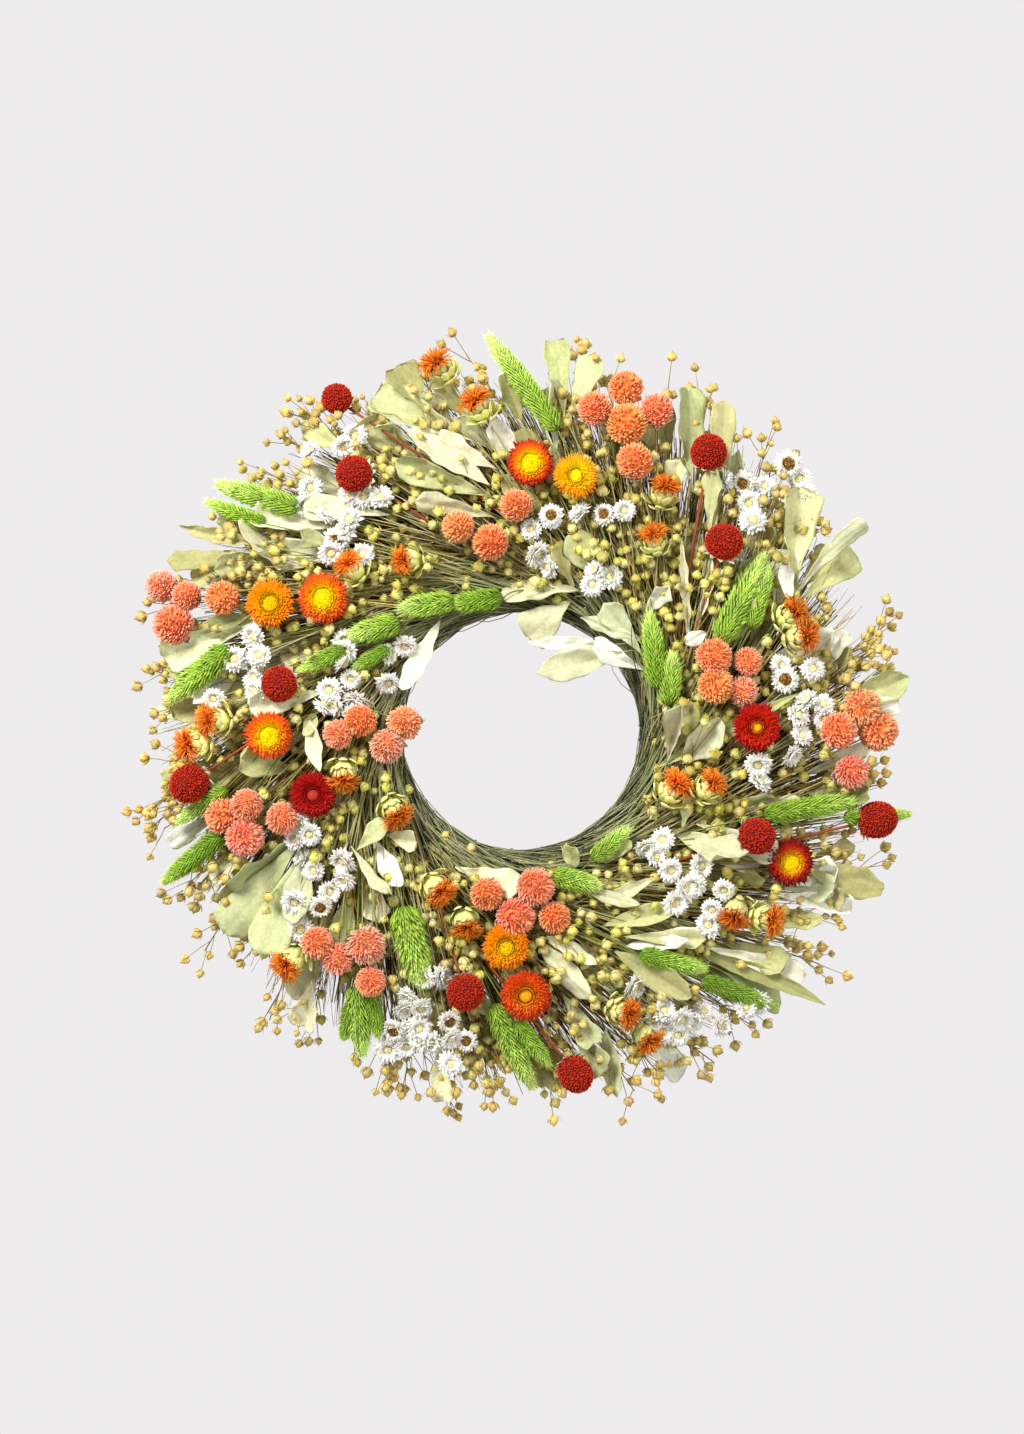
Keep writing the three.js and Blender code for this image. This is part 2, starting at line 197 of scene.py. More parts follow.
def axes_out(out):
    """Axes for florets that point outwards, where how each is turned doesn't show."""
    return axes_from(out, np.roll(out, 1, axis=1) + 0.1)


def flat_along(facing, along):
    """Axes of one leaf or spike that runs along a line and faces as asked."""
    along = unit(along)
    return axes_from(facing - along * np.dot(facing, along), along)[None]


def grid_quads(rows, cols):
    """The quads of a grid of points."""
    corner = (np.arange(rows - 1)[:, None] * cols + np.arange(cols - 1)).ravel()
    return np.stack([corner, corner + 1, corner + cols + 1, corner + cols], axis=1)


def skin_faces(rings, sides):
    """Quads round a stack of rings, and triangles to the pole at each end of it."""
    here = np.arange(sides)
    after = (here + 1) % sides
    band = np.stack([here, after, after + sides, here + sides], axis=1)
    last = (rings - 1) * sides
    low = np.full(sides, rings * sides)
    quads = band + sides * np.arange(rings - 1)[:, None, None]
    tris = [np.stack([after, here, low], axis=1),
            np.stack([here + last, after + last, low + 1], axis=1)]
    return quads.reshape(-1, 4), np.concatenate(tris)


def closed_sheet(top, bottom, place):
    """A thin closed body from two grids of the same size."""
    rows, cols = top.shape[:2]
    count = rows * cols
    index = np.arange(count).reshape(rows, cols)
    edge = np.concatenate([index[0, :-1], index[:-1, -1], index[-1, :0:-1], index[:0:-1, 0]])
    following = np.roll(edge, -1)
    rim = np.stack([edge, edge + count, following + count, following], axis=1)
    upper = grid_quads(rows, cols)
    lower = upper[:, ::-1] + count
    points = np.concatenate([top.reshape(-1, 3), bottom.reshape(-1, 3)])
    return Shape(points, np.concatenate([upper, lower, rim]), place=np.tile(place, (2, 1)))


def pointed(s):
    """Outline of a narrow pointed bract."""
    return np.clip(np.sin(np.pi * s ** 0.75) ** 0.6, 0, 1)


def paddle(s):
    """Outline of a leaf that widens to a blunt, nearly square end."""
    return 1.25 * s ** 1.15 * np.sqrt(np.clip(1 - s ** 9, 0, 1)) + 0.08 * np.sin(np.pi * s)


def oblong(s):
    """Outline of a bract or leaf with a broad round end."""
    return np.clip(np.sin(np.pi * np.clip(s, 0, 1) ** 1.55) ** 0.62, 0, 1)


def lens(s):
    """Outline of a leaf that is broadest at its middle."""
    return np.clip(np.sin(np.pi * s) ** 0.8, 0, 1)


def blade(length, width, rows=5, cols=3, outline=pointed, bend=0.0, cup=0.0, thick=0.3,
          twist=0.0, wave=0.0, tip=0.06):
    """A thin closed leaf along +Y from the origin, its upper side facing +Z."""
    s = np.linspace(0, 1, rows)
    u = np.linspace(-1, 1, cols)
    angle = bend * s
    middle = (angle[1:] + angle[:-1]) / 2
    step = length / (rows - 1)
    y = np.concatenate([[0], np.cumsum(np.cos(middle))]) * step
    z = np.concatenate([[0], np.cumsum(np.sin(middle))]) * step
    half = np.maximum(outline(s), tip) * width / 2
    across = half[:, None] * u
    lift = cup * half[:, None] * u ** 2 + wave * np.sin(5 * np.pi * s)[:, None] * u ** 3
    roll = (twist * s)[:, None]
    side = across * np.cos(roll) - lift * np.sin(roll)
    rise = across * np.sin(roll) + lift * np.cos(roll)
    normal = np.stack([0 * angle, -np.sin(angle), np.cos(angle)], axis=-1)[:, None]
    spine = np.stack([0 * y, y, z], axis=-1)[:, None]
    top = spine + side[..., None] * np.array([1, 0, 0]) + rise[..., None] * normal
    bottom = top - thick * normal
    place = np.stack([across, np.broadcast_to((s * length)[:, None], across.shape)], axis=-1)
    return closed_sheet(top, bottom, place.reshape(-1, 2))


def lathe(radii, heights, sides):
    """A closed turned body about +Z; the first and last heights are its two poles."""
    angle = np.arange(sides) * 2 * np.pi / sides
    rings = [np.stack([r * np.cos(angle), r * np.sin(angle), 0 * angle + h], axis=1)
             for r, h in zip(radii[1:-1], heights[1:-1])]
    poles = [[0, 0, heights[0]], [0, 0, heights[-1]]]
    return Shape(np.concatenate(rings + [poles]), *skin_faces(len(rings), sides))


def ball(radius, height=None, sides=12, rings=7):
    """A closed round body, flattened or drawn out to a height."""
    turn = np.linspace(0, np.pi, rings + 2)
    half = (height or 2 * radius) / 2
    return lathe(radius * np.sin(turn), -half * np.cos(turn), sides)


def tubes(paths, radii, sides=4, tints=(1, 1, 1)):
    """Closed tubes along many paths of the same number of points."""
    count, steps = paths.shape[:2]
    radii = np.broadcast_to(radii, (count, steps))
    tangent = unit(np.gradient(paths, axis=1))
    normal = np.empty_like(paths)
    guess = np.where(np.abs(tangent[:, 0, 1:2]) < 0.8, [[0.0, 1, 0]], [[1.0, 0, 0]])
    for i in range(steps):
        along = tangent[:, i]
        guess = unit(guess - np.sum(guess * along, axis=1, keepdims=True) * along)
        normal[:, i] = guess
    binormal = np.cross(tangent, normal)
    angle = np.arange(sides) * 2 * np.pi / sides
    ring = (normal[:, :, None] * np.cos(angle)[:, None]
            + binormal[:, :, None] * np.sin(angle)[:, None])
    skin = paths[:, :, None] + radii[:, :, None, None] * ring
    points = np.concatenate([skin.reshape(count, -1, 3), paths[:, :1], paths[:, -1:]], axis=1)
    size = steps * sides + 2
    wall, caps = skin_faces(steps, sides)
    starts = (np.arange(count) * size)[:, None, None]
    tint = np.broadcast_to(np.reshape(tints, (-1, 1, 3)), (count, size, 3))
    length = np.linalg.norm(np.diff(paths, axis=1), axis=2).cumsum(axis=1)
    length = np.concatenate([np.zeros((count, 1)), length], axis=1)
    run = np.concatenate([np.repeat(length, sides, axis=1), length[:, :1], length[:, -1:]], axis=1)
    place = np.stack([0 * run, run], axis=-1).reshape(-1, 2)
    return Shape(points.reshape(-1, 3), (wall[None] + starts).reshape(-1, 4),
                 (caps[None] + starts).reshape(-1, 3), tint.reshape(-1, 3), place)


# ---- Colours ------------------------------------------------------------------------

def linear(code):
    """A linear colour from a hex code."""
    value = np.array([int(code[i:i + 2], 16) for i in (0, 2, 4)]) / 255
    return np.where(value <= 0.04045, value / 12.92, ((value + 0.055) / 1.055) ** 2.4)


def blend(stops, where):
    """Colours along a list of (place, hex code) stops."""
    places = [stop[0] for stop in stops]
    colours = np.array([linear(stop[1]) for stop in stops])
    return np.stack([np.interp(where, places, colours[:, k]) for k in range(3)], axis=-1)


def varied(count, amount=0.1, hue=0.03):
    """Random brightness and slight hue factors for copies."""
    bright = 1 + amount * rng.normal(size=(count, 1))
    return np.clip(bright + hue * rng.normal(size=(count, 3)), 0.45, 1.6)


def chosen(codes, count, amount=0.1):
    """A random pick of colours for copies."""
    palette = np.array([linear(code) for code in codes])
    return palette[rng.integers(len(codes), size=count)] * varied(count, amount)


# ---- Materials ----------------------------------------------------------------------

class Shading:
    """The shader nodes of a material or of the world."""

    def __init__(self, owner):
        owner.use_nodes = True
        self.tree = owner.node_tree

    def feed(self, node, inputs):
        """Sets a node's inputs to plain values or links them to other nodes' outputs."""
        for name, value in inputs.items():
            if isinstance(value, bpy.types.NodeSocket):
                self.tree.links.new(value, node.inputs[name])
            else:
                node.inputs[name].default_value = value

    def add(self, kind, output, inputs=None, **settings):
        """Adds a node and gives one of its outputs."""
        node = self.tree.nodes.new(kind)
        for name, value in settings.items():
            setattr(node, name, value)
        self.feed(node, inputs or {})
        return node.outputs[output]

    def noise(self, scale, detail):
        """Noise in the object's own coordinates."""
        inputs = {"Vector": self.add("ShaderNodeTexCoord", "Object"), "Scale": scale,
                  "Detail": detail}
        return self.add("ShaderNodeTexNoise", "Fac", inputs)

    def span(self, value, low, high, from_low=0, from_high=1, **settings):
        """A value brought from one range to another."""
        inputs = {"Value": value, "From Min": from_low, "From Max": from_high,
                  "To Min": low, "To Max": high}
        return self.add("ShaderNodeMapRange", "Result", inputs, **settings)

    def surface(self, inputs, relief, strength, distance):
        """What goes into the surface, with relief as bumps."""
        bumps = {"Height": relief, "Strength": strength, "Distance": distance}
        inputs["Normal"] = self.add("ShaderNodeBump", "Normal", bumps)
        self.feed(self.tree.nodes["Principled BSDF"], inputs)


def plant_material(name, roughness, grain, depth, bump, ribs=0.0, rib_bump=0.5):
    """Dried plant: its tint with mottling, fine grain and optional lengthwise ribs."""
    material = bpy.data.materials.new(name)
    shading = Shading(material)
    tint = shading.add("ShaderNodeAttribute", "Color", attribute_name="Tint")
    fine = shading.noise(grain, 4)
    broad = shading.noise(grain * 0.16, 3)
    blotch = shading.add("ShaderNodeMath", "Value", {0: fine, 1: broad}, operation="ADD")
    shade = shading.span(blotch, 1 - depth, 1 + depth, 0.6, 1.4)
    mottled = shading.add("ShaderNodeVectorMath", "Vector", {0: tint, "Scale": shade},
                          operation="SCALE")
    gloss = shading.span(fine, roughness - 0.12, min(roughness + 0.12, 1))
    relief = fine
    if ribs:
        place = shading.add("ShaderNodeAttribute", "Vector", attribute_name="Place")
        across = shading.add("ShaderNodeSeparateXYZ", "X", {"Vector": place})
        turn = shading.add("ShaderNodeMath", "Value", {0: across, 1: 2 * math.pi / ribs},
                           operation="MULTIPLY")
        ridge = shading.add("ShaderNodeMath", "Value", {0: turn}, operation="SINE")
        relief = shading.add("ShaderNodeMath", "Value", {0: ridge, 1: rib_bump, 2: fine},
                             operation="MULTIPLY_ADD")
    inputs = {"Base Color": mottled, "Roughness": gloss, "Specular IOR Level": 0.18}
    shading.surface(inputs, relief, bump, 0.0004)
    return material


def wire_material(name, colour, metallic, roughness):
    """Drawn wire: fine scratches in its roughness and a slightly uneven colour."""
    material = bpy.data.materials.new(name)
    shading = Shading(material)
    noise = shading.noise(420, 5)
    paint = shading.add("ShaderNodeValToRGB", "Color", {"Fac": noise})
    dark, bright = paint.node.color_ramp.elements
    dark.position, bright.position = 0.3, 0.7
    dark.color = (*linear(colour) * 0.7, 1)
    bright.color = (*np.minimum(linear(colour) * 1.25, 1), 1)
    gloss = shading.span(noise, roughness - 0.1, roughness + 0.15)
    inputs = {"Base Color": paint, "Roughness": gloss, "Metallic": metallic}
    shading.surface(inputs, noise, 0.15, 0.0002)
    return material


PETAL = plant_material("papery_bracts", 0.5, 900, 0.12, 0.25, ribs=0.7)
FLORET = plant_material("dense_florets", 0.8, 1500, 0.22, 0.4)
GLOBE = plant_material("globe_bracts", 0.65, 1200, 0.16, 0.3, ribs=0.9)
WHITE = plant_material("white_bracts", 0.6, 900, 0.06, 0.2, ribs=0.8)
LEAF = plant_material("dry_leaf", 0.75, 420, 0.22, 0.4, ribs=1.0, rib_bump=0.1)
GRASS = plant_material("grass_spike", 0.7, 1300, 0.2, 0.3)
SAFFLOWER = plant_material("safflower", 0.7, 1000, 0.16, 0.3)
SEED = plant_material("flax_bolls", 0.55, 1100, 0.18, 0.3)
STEM = plant_material("dry_stems", 0.75, 900, 0.3, 0.5)
BOUND = plant_material("bound_stems", 0.8, 700, 0.35, 0.6)
GREEN_WIRE = wire_material("green_wire", "26382A", 0.35, 0.45)
BRIGHT_WIRE = wire_material("bright_wire", "9A9B96", 1.0, 0.3)


def add_piece(name, shape, material, replaces, body="wreath"):
    """A mesh object in the frame that rides on a body and replaces CAD nodes."""
    mesh = bpy.data.meshes.new(name)
    quads, tris = len(shape.quads), len(shape.tris)
    mesh.vertices.add(len(shape.points))
    mesh.vertices.foreach_set("co", (shape.points * MM).ravel())
    mesh.loops.add(quads * 4 + tris * 3)
    corners = np.concatenate([shape.quads.ravel(), shape.tris.ravel()])
    mesh.loops.foreach_set("vertex_index", corners)
    mesh.polygons.add(quads + tris)
    starts = np.concatenate([np.arange(quads) * 4, quads * 4 + np.arange(tris) * 3])
    mesh.polygons.foreach_set("loop_start", starts)
    mesh.polygons.foreach_set("use_smooth", np.ones(quads + tris, bool))
    mesh.update(calc_edges=True)
    colour = mesh.attributes.new("Tint", "FLOAT_COLOR", "POINT")
    rgba = np.concatenate([shape.tint, np.ones((len(shape.tint), 1))], axis=1)
    colour.data.foreach_set("color", rgba.ravel())
    place = mesh.attributes.new("Place", "FLOAT_VECTOR", "POINT")
    place.data.foreach_set("vector", np.pad(shape.place, ((0, 0), (0, 1))).ravel())
    mesh.materials.append(material)
    piece = bpy.data.objects.new(name, mesh)
    bpy.context.scene.collection.objects.link(piece)
    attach(piece, body)
    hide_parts(*replaces)


# ---- Flower heads that face +Z, and a grass spike along +Y --------------------------

GOLDEN_ANGLE = math.pi * (3 - math.sqrt(5))


def sunflower_places(count, radius, dome):
    """Evenly spread places on a dome: positions and outward directions."""
    k = np.arange(count) + 0.5
    turn = k * GOLDEN_ANGLE
    cos_polar = 1 - (1 - math.cos(dome)) * k / count
    sin_polar = np.sqrt(1 - cos_polar ** 2)
    out = np.stack([sin_polar * np.cos(turn), sin_polar * np.sin(turn), cos_polar], axis=1)
    return out * radius, out


def whorl(shape, count, radius, height, angle, spread=0.06, size_spread=0.08):
    """Bracts in a ring: they leave at a radius and height, rising by an angle."""
    turn = (np.arange(count) + rng.uniform(-0.25, 0.25, count)) * 2 * np.pi / count
    turn += rng.uniform(0, 2 * np.pi)
    rise = angle + rng.normal(0, spread, count)
    out = np.stack([np.cos(turn), np.sin(turn), 0 * turn], axis=1)
    along = out * np.cos(rise)[:, None] + UP * np.sin(rise)[:, None]
    facing = UP * np.cos(rise)[:, None] - out * np.sin(rise)[:, None]
    places = out * radius + UP * height
    sizes = rng.normal(1, size_spread, count)
    return stamp(shape, axes_from(facing, along), places, sizes, varied(count, 0.07, 0.02))


STRAWFLOWER_ROWS = [
    # share of the radius reached, bracts, rise in degrees, length as share of radius
    (1.00, 46, -6, 0.58), (0.95, 46, 6, 0.52), (0.86, 44, 15, 0.46), (0.76, 40, 25, 0.40),
    (0.65, 36, 37, 0.34), (0.54, 30, 50, 0.28), (0.44, 24, 64, 0.22), (0.34, 17, 74, 0.19),
    (0.25, 11, 80, 0.17),
]


def strawflower(radius, stops, disc_share):
    """Rows of papery bracts round a domed disc of tiny florets."""
    parts = []
    for reach, count, rise, length in STRAWFLOWER_ROWS:
        if reach < disc_share + 0.04:
            continue
        angle = math.radians(rise)
        long = length * radius
        bract = blade(long, 0.15 * radius, rows=5, outline=pointed, bend=0.35, cup=0.45,
                      thick=0.22)
        start = reach * radius - long * math.cos(angle + 0.15)
        parts.append(whorl(bract, count, start, (1 - reach) * 0.2 * radius, angle))
    whole = join(parts)
    away = np.linalg.norm(whole.points[:, :2], axis=1) / radius
    whole.tint *= blend(stops, away + 0.05 * (whole.place[:, 1] / (0.5 * radius) - 0.5))
    count = 170
    disc = disc_share * radius
    places, out = sunflower_places(count, disc, 1.25)
    places[:, 2] *= 0.55
    peg = lathe([0, 0.42, 0.5, 0.34, 0], [-0.5, -0.4, 0.5, 1.0, 1.25], 5)
    florets = stamp(peg, axes_out(out), places, rng.normal(1, 0.12, count),
                    varied(count, 0.08))
    florets.tint *= blend(stops, np.linalg.norm(florets.points[:, :2], axis=1) / radius)
    dome = ball(disc * 0.98, disc * 1.1)
    cup = ball(0.6 * radius, 0.6 * radius)
    cup.points[:, 2] -= 0.34 * radius
    behind = np.clip(-cup.points[:, 2] / radius * 2.5 - 0.4, 0, 1)[:, None]
    cup.tint = (1 - behind) * blend(stops, 0.55) + behind * linear("B9B58A")
    return join([whole, florets, dome.tinted(blend(stops, 0.1)), cup])


def studded(count, radius, dome):
    """Slightly uneven places on a dome: positions and outward directions."""
    out = sunflower_places(count, radius, dome)[1]
    out = unit(out + rng.normal(0, 0.05, out.shape))
    return out * radius, out


def drumstick(radius, length_share):
    """A dense ball of small pointed florets."""
    count = int(7.0 * radius ** 2)
    places, out = studded(count, radius * 0.93, 2.75)
    places[:, 2] *= length_share
    bud = lathe([0, 0.62, 0.66, 0.4, 0], [-0.8, -0.5, 0.5, 1.1, 1.45], 5)
    bud.tint = blend([(-0.5, "861206"), (0.7, "BC2812"), (1.4, "CC4022")], bud.points[:, 2])
    sizes = rng.normal(0.86, 0.13, count)
    skin = stamp(bud, axes_out(out), places, sizes, varied(count, 0.12, 0.03))
    heart = ball(radius * 0.92, radius * 1.84 * length_share, 20, 12).tinted(linear("84140C"))
    ruff = whorl(blade(radius * 0.62, radius * 0.34, cup=0.3, outline=lens), 11,
                 radius * 0.45, -0.78 * radius * length_share, 0.18)
    return join([skin, heart, ruff.tinted(linear("D9D2AE") * varied(1))])


def globe(radius, pale):
    """Globe amaranth: papery pointed bracts that point up and out all over a ball."""
    count = 360
    places, out = studded(count, radius * 0.72, 2.55)
    sideways = unit(out - 0.999 * UP * out[:, 2:3])
    lean = np.clip(out[:, 2:3], -0.9, 0.9)
    along = unit(out * 1.25 + UP * 0.6 * (1 - lean) + 0.1 * sideways)
    facing = unit(out - along * np.sum(out * along, axis=1, keepdims=True) + 0.02 * UP)
    long = radius * 0.47
    scale = blade(long, radius * 0.19, rows=4, bend=0.15, cup=0.6, thick=0.2)
    stops = [(0, "F88A40"), (0.5, "FFA052"), (1, "FFBE84")]
    scale.tint = blend(stops, scale.place[:, 1] / long)
    sizes = rng.normal(1, 0.1, count)
    skin = stamp(scale, axes_from(facing, along), places, sizes, varied(count, 0.09, 0.03))
    low = np.clip(-skin.points[:, 2] / radius, 0, 1)[:, None]
    wash = np.clip(pale + 0.75 * low, 0, 0.9)
    skin.tint = skin.tint * (1 - wash) + linear("F8D0A8") * wash
    heart = ball(radius * 0.84, radius * 1.68, 16, 10).tinted(linear("FA8E44"))
    skirt = whorl(blade(radius * 0.85, radius * 0.3, cup=0.3, bend=0.7), 11, radius * 0.3,
                  -0.82 * radius, 0.35, 0.2).tinted(linear("DEDCB4"))
    collar = whorl(blade(radius * 1.1, radius * 0.6, outline=lens, cup=0.4, bend=0.5), 3,
                   radius * 0.2, -0.85 * radius, 0.15).tinted(linear("C2BF90"))
    whole = join([skin, heart, skirt, collar])
    whole.points[:, 2] *= 1.12
    return whole


def everlasting(radius, centre_codes, open_share):
    """Winged everlasting: white pointed bracts round a domed disc."""
    parts = []
    for reach, count, rise in [(1.0, 20, -6), (0.93, 20, 12), (0.8, 17, 30), (0.62, 13, 52)]:
        if reach < open_share + 0.15:
            continue
        long = radius * (0.68 if reach > 0.75 else 0.45)
        petal = blade(long, radius * 0.32, rows=4, bend=0.3, cup=0.35, thick=0.2)
        angle = math.radians(rise)
        start = max(reach * radius - long * math.cos(angle), 0.15 * radius)
        parts.append(whorl(petal, count, start, (1 - reach) * 0.35 * radius, angle, 0.12))
    white = join(parts)
    white.tint *= blend([(0, "E9E4C8"), (0.35, "FAF8EE"), (1, "FFFDF6")],
                        np.linalg.norm(white.points[:, :2], axis=1) / radius)
    count = 70
    places, out = sunflower_places(count, open_share * radius, 1.35)
    places[:, 2] = places[:, 2] * 0.6 + 0.1 * radius
    peg = lathe([0, 0.5, 0.55, 0], [-0.4, -0.2, 0.5, 0.95], 5)
    disc = stamp(peg, axes_out(out), places, rng.normal(1, 0.15, count),
                 chosen(centre_codes, count))
    cushion = ball(open_share * radius, open_share * radius * 1.2)
    cushion.points[:, 2] += 0.1 * radius
    base = ball(0.4 * radius, 0.5 * radius)
    base.points[:, 2] -= 0.12 * radius
    return join([white, disc, cushion.tinted(linear(centre_codes[0])),
                 base.tinted(linear("C6C49A"))])


def safflower(radius):
    """A bud of rounded yellow-green bracts with a tuft of orange threads."""
    parts = []
    for height, count, rise, size in [(-0.6, 8, 15, 1.0), (-0.35, 9, 42, 1.0),
                                      (-0.1, 10, 60, 0.95), (0.15, 8, 74, 0.85)]:
        bract = blade(radius * size, radius * 0.66 * size, rows=7, cols=5, outline=oblong,
                      bend=0.9, cup=0.35, thick=0.35)
        parts.append(whorl(bract, count, radius * 0.42, height * radius, math.radians(rise),
                           0.12))
    bracts = join(parts)
    bracts.tint *= blend([(0, "BCBE5C"), (0.4, "E2E080"), (1, "F4F0A6")],
                         bracts.place[:, 1] / radius)
    bud = ball(radius * 0.62, radius * 1.3).tinted(linear("B5B26A"))
    count, steps, sides = 260, 5, 3
    throat = radius * 0.3
    turn = rng.uniform(0, 2 * np.pi, count)
    start = throat * np.sqrt(rng.uniform(0, 1, count))
    flare = start / throat * 1.1 + rng.normal(0, 0.14, count)
    out = np.stack([np.cos(turn), np.sin(turn), 0 * turn], axis=1)
    long = radius * rng.uniform(0.65, 1.1, count)
    t = np.linspace(0, 1, steps)
    bowed = flare[:, None] * (0.4 + 0.8 * t)
    paths = (out[:, None] * (start[:, None] + long[:, None] * t * np.sin(bowed))[..., None]
             + UP * (0.75 * radius + long[:, None] * t * np.cos(bowed))[..., None])
    threads = tubes(paths, np.linspace(0.42, 0.26, steps), sides)
    height = threads.place[:, 1] / radius
    colours = blend([(0, "98280C"), (0.35, "CE500E"), (0.75, "EA7C1C"), (1.1, "F29A34")], height)
    threads.tint = colours * np.repeat(varied(count, 0.12, 0.04), steps * sides + 2, axis=0)
    return join([bracts, bud, threads])


def spike(width, length, green):
    """A grass spike along +Y: closely packed pointed florets with short bristles."""
    count = int(7.2 * length + 140)
    along = np.linspace(0, 1, count) ** 0.95
    turn = np.arange(count) * GOLDEN_ANGLE
    full = np.clip(1.12 - along ** 4, 0.25, 1) * np.clip(along * 9 + 0.45, 0, 1)
    body = width * 0.38 * full * rng.normal(1, 0.07, count)
    out = np.stack([np.cos(turn), 0 * turn, np.sin(turn)], axis=1)
    places = out * body[:, None] * 0.8
    places[:, 1] = along * length * 0.94
    tilt = rng.normal(0.62, 0.1, count)[:, None] * (1 - 0.6 * along[:, None] ** 4)
    way = unit(out * np.sin(tilt) + np.array([0, 1.0, 0]) * np.cos(tilt))
    floret = lathe([0, 0.42, 0.62, 0.4, 0], [0, 0.6, 1.8, 3.2, 4.3], 4)
    floret.tint = blend([(0, "A8BC70"), (1.6, "FFFFFF"), (4.3, "FFFFFF")],
                        floret.points[:, 2])
    sizes = rng.normal(1, 0.1, count) * (width / 16)
    tints = blend(green, along) * varied(count, 0.16, 0.06)
    grains = stamp(floret, axes_from(way, out + 0.01), places, sizes, tints)
    picked = rng.permutation(count)[:count * 2 // 3]
    bristle_way = unit(way[picked] + rng.normal(0, 0.12, (len(picked), 3)))
    reach = (width * 0.36) * rng.uniform(0.8, 1.35, len(picked))
    run = reach[:, None] * np.linspace(0, 1, 3)
    paths = places[picked][:, None] + bristle_way[:, None] * run[..., None]
    bristles = tubes(paths, np.array([0.2, 0.16, 0.06]), 3, tints[picked] * 1.5)
    heart = lathe([0, width * 0.24, width * 0.28, width * 0.2, 0],
                  [-1, length * 0.06, length * 0.5, length * 0.85, length * 0.97], 8)
    turned_heart = Shape(heart.points[:, [0, 2, 1]], heart.quads[:, ::-1], heart.tris[:, ::-1],
                         linear("6A8A2C"))
    return join([grains, bristles, turned_heart])


def flax_boll():
    """A round seed capsule with a pointed tip and five small sepals; its stalk end is at 0."""
    capsule = lathe([0, 1.8, 3.6, 4.0, 2.9, 0.9, 0.22, 0],
                    [0, 0.3, 1.9, 4.0, 6.6, 8.0, 8.9, 9.6], 8)
    capsule.tint = blend([(0, "B9A869"), (4, "FFFFFF"), (8, "E0CC92"), (9.6, "8A6A35")],
                         capsule.points[:, 2])
    sepal = blade(7.2, 2.6, rows=5, cols=2, bend=1.1, thick=0.3)
    sepals = whorl(sepal, 5, 0.8, -0.1, 0.3, 0.16)
    sepals.tint *= np.array([0.86, 0.82, 0.66])
    return join([capsule, sepals])


# ---- What grows where ---------------------------------------------------------------

SUNRISE = [(0, "FFF400"), (0.4, "FFE000"), (0.52, "FFAE0A"), (0.68, "F66E10"),
           (0.82, "D8340A"), (1, "760B05")]
GOLD = [(0, "FFE800"), (0.4, "FFDC00"), (0.66, "FFC008"), (0.85, "FCA404"), (1, "F28C08")]
ORANGE = [(0, "EFD800"), (0.35, "F8C400"), (0.6, "F79A00"), (1, "EF7A00")]
FIRE = [(0, "FFF400"), (0.38, "FFE400"), (0.5, "FBAC00"), (0.75, "F26810"), (1, "D83410")]
CRIMSON = [(0, "D25440"), (0.3, "C42018"), (0.7, "B40E08"), (1, "8C0804")]
SCARLET = [(0, "FFDC00"), (0.16, "F8A810"), (0.28, "E03A10"), (0.7, "CC1C0A"), (1, "A00E08")]
DUSK = [(0, "FFF000"), (0.34, "FFD800"), (0.48, "F08A20"), (0.62, "CC3012"), (0.84, "8C0C08"),
        (1, "5C0605")]
EMBER = [(0, "F8C818"), (0.3, "F4A01C"), (0.5, "EC6A14"), (0.8, "E04A10"), (1, "C03210")]

STRAWFLOWERS = [
    # bearing, radius, head radius, colours, share of the radius that is disc
    (88, 179, 16.5, SUNRISE, 0.36), (78, 174, 15.5, GOLD, 0.24), (153, 188, 16.8, ORANGE, 0.3),
    (146, 159, 17.5, FIRE, 0.38), (181, 168, 16.8, FIRE, 0.36), (197, 145, 16.2, CRIMSON, 0.22),
    (1, 157, 16.8, SCARLET, 0.2), (334, 200, 16.8, DUSK, 0.34), (266, 144, 16.2, ORANGE, 0.3),
    (271, 176, 17.5, EMBER, 0.24),
]
DRUMSTICKS = [
    # bearing, radius, head radius, length over width
    (119, 256, 10.1, 1.0), (123, 205, 12.1, 1.0), (56, 225, 12.1, 1.05), (43, 185, 12.6, 0.95),
    (169, 164, 12.0, 0.95), (189, 225, 12.6, 1.12), (336, 172, 12.1, 1.0), (346, 247, 12.4, 1.15),
    (258, 178, 12.4, 1.0), (279, 233, 11.4, 1.18),
]
GLOBES = [
    # clusters of bearing, radius, head radius, paleness
    [(77, 221, 10.1, 0.1), (73, 241, 10.1, 0.05), (71, 217, 12.1, 0), (67, 233, 10.1, 0.15),
     (67, 195, 10.8, 0)],
    [(91, 150, 9.6, 0.05), (107, 142, 9.6, 0.25), (99, 127, 10.8, 0)],
    [(158, 261, 9.6, 0.3), (158, 242, 8.9, 0), (156, 219, 10.1, 0), (163, 244, 12.0, 0)],
    [(181, 122, 8.7, 0.2), (176, 107, 9.6, 0), (176, 78, 10.1, 0.2), (186, 90, 10.1, 0.65)],
    [(196, 207, 10.8, 0), (195, 189, 9.6, 0.15), (200, 169, 9.6, 0.15), (201, 198, 11.4, 0.1)],
    [(21, 137, 10.8, 0.1), (17, 158, 8.4, 0.1), (13, 133, 10.8, 0), (10, 150, 9, 0.6)],
    [(4, 229, 11.4, 0.35), (0, 212, 10.8, 0), (0, 240, 12.0, 0.15), (-7, 223, 10.1, 0.1)],
    [(258, 111, 9.6, 0), (275, 104, 11.2, 0.15), (268, 124, 11.4, 0), (280, 126, 9.4, 0)],
    [(226, 196, 9.6, 0.1), (231, 195, 9.6, 0.15), (234, 176, 11.4, 0.3), (239, 195, 9, 0)],
]
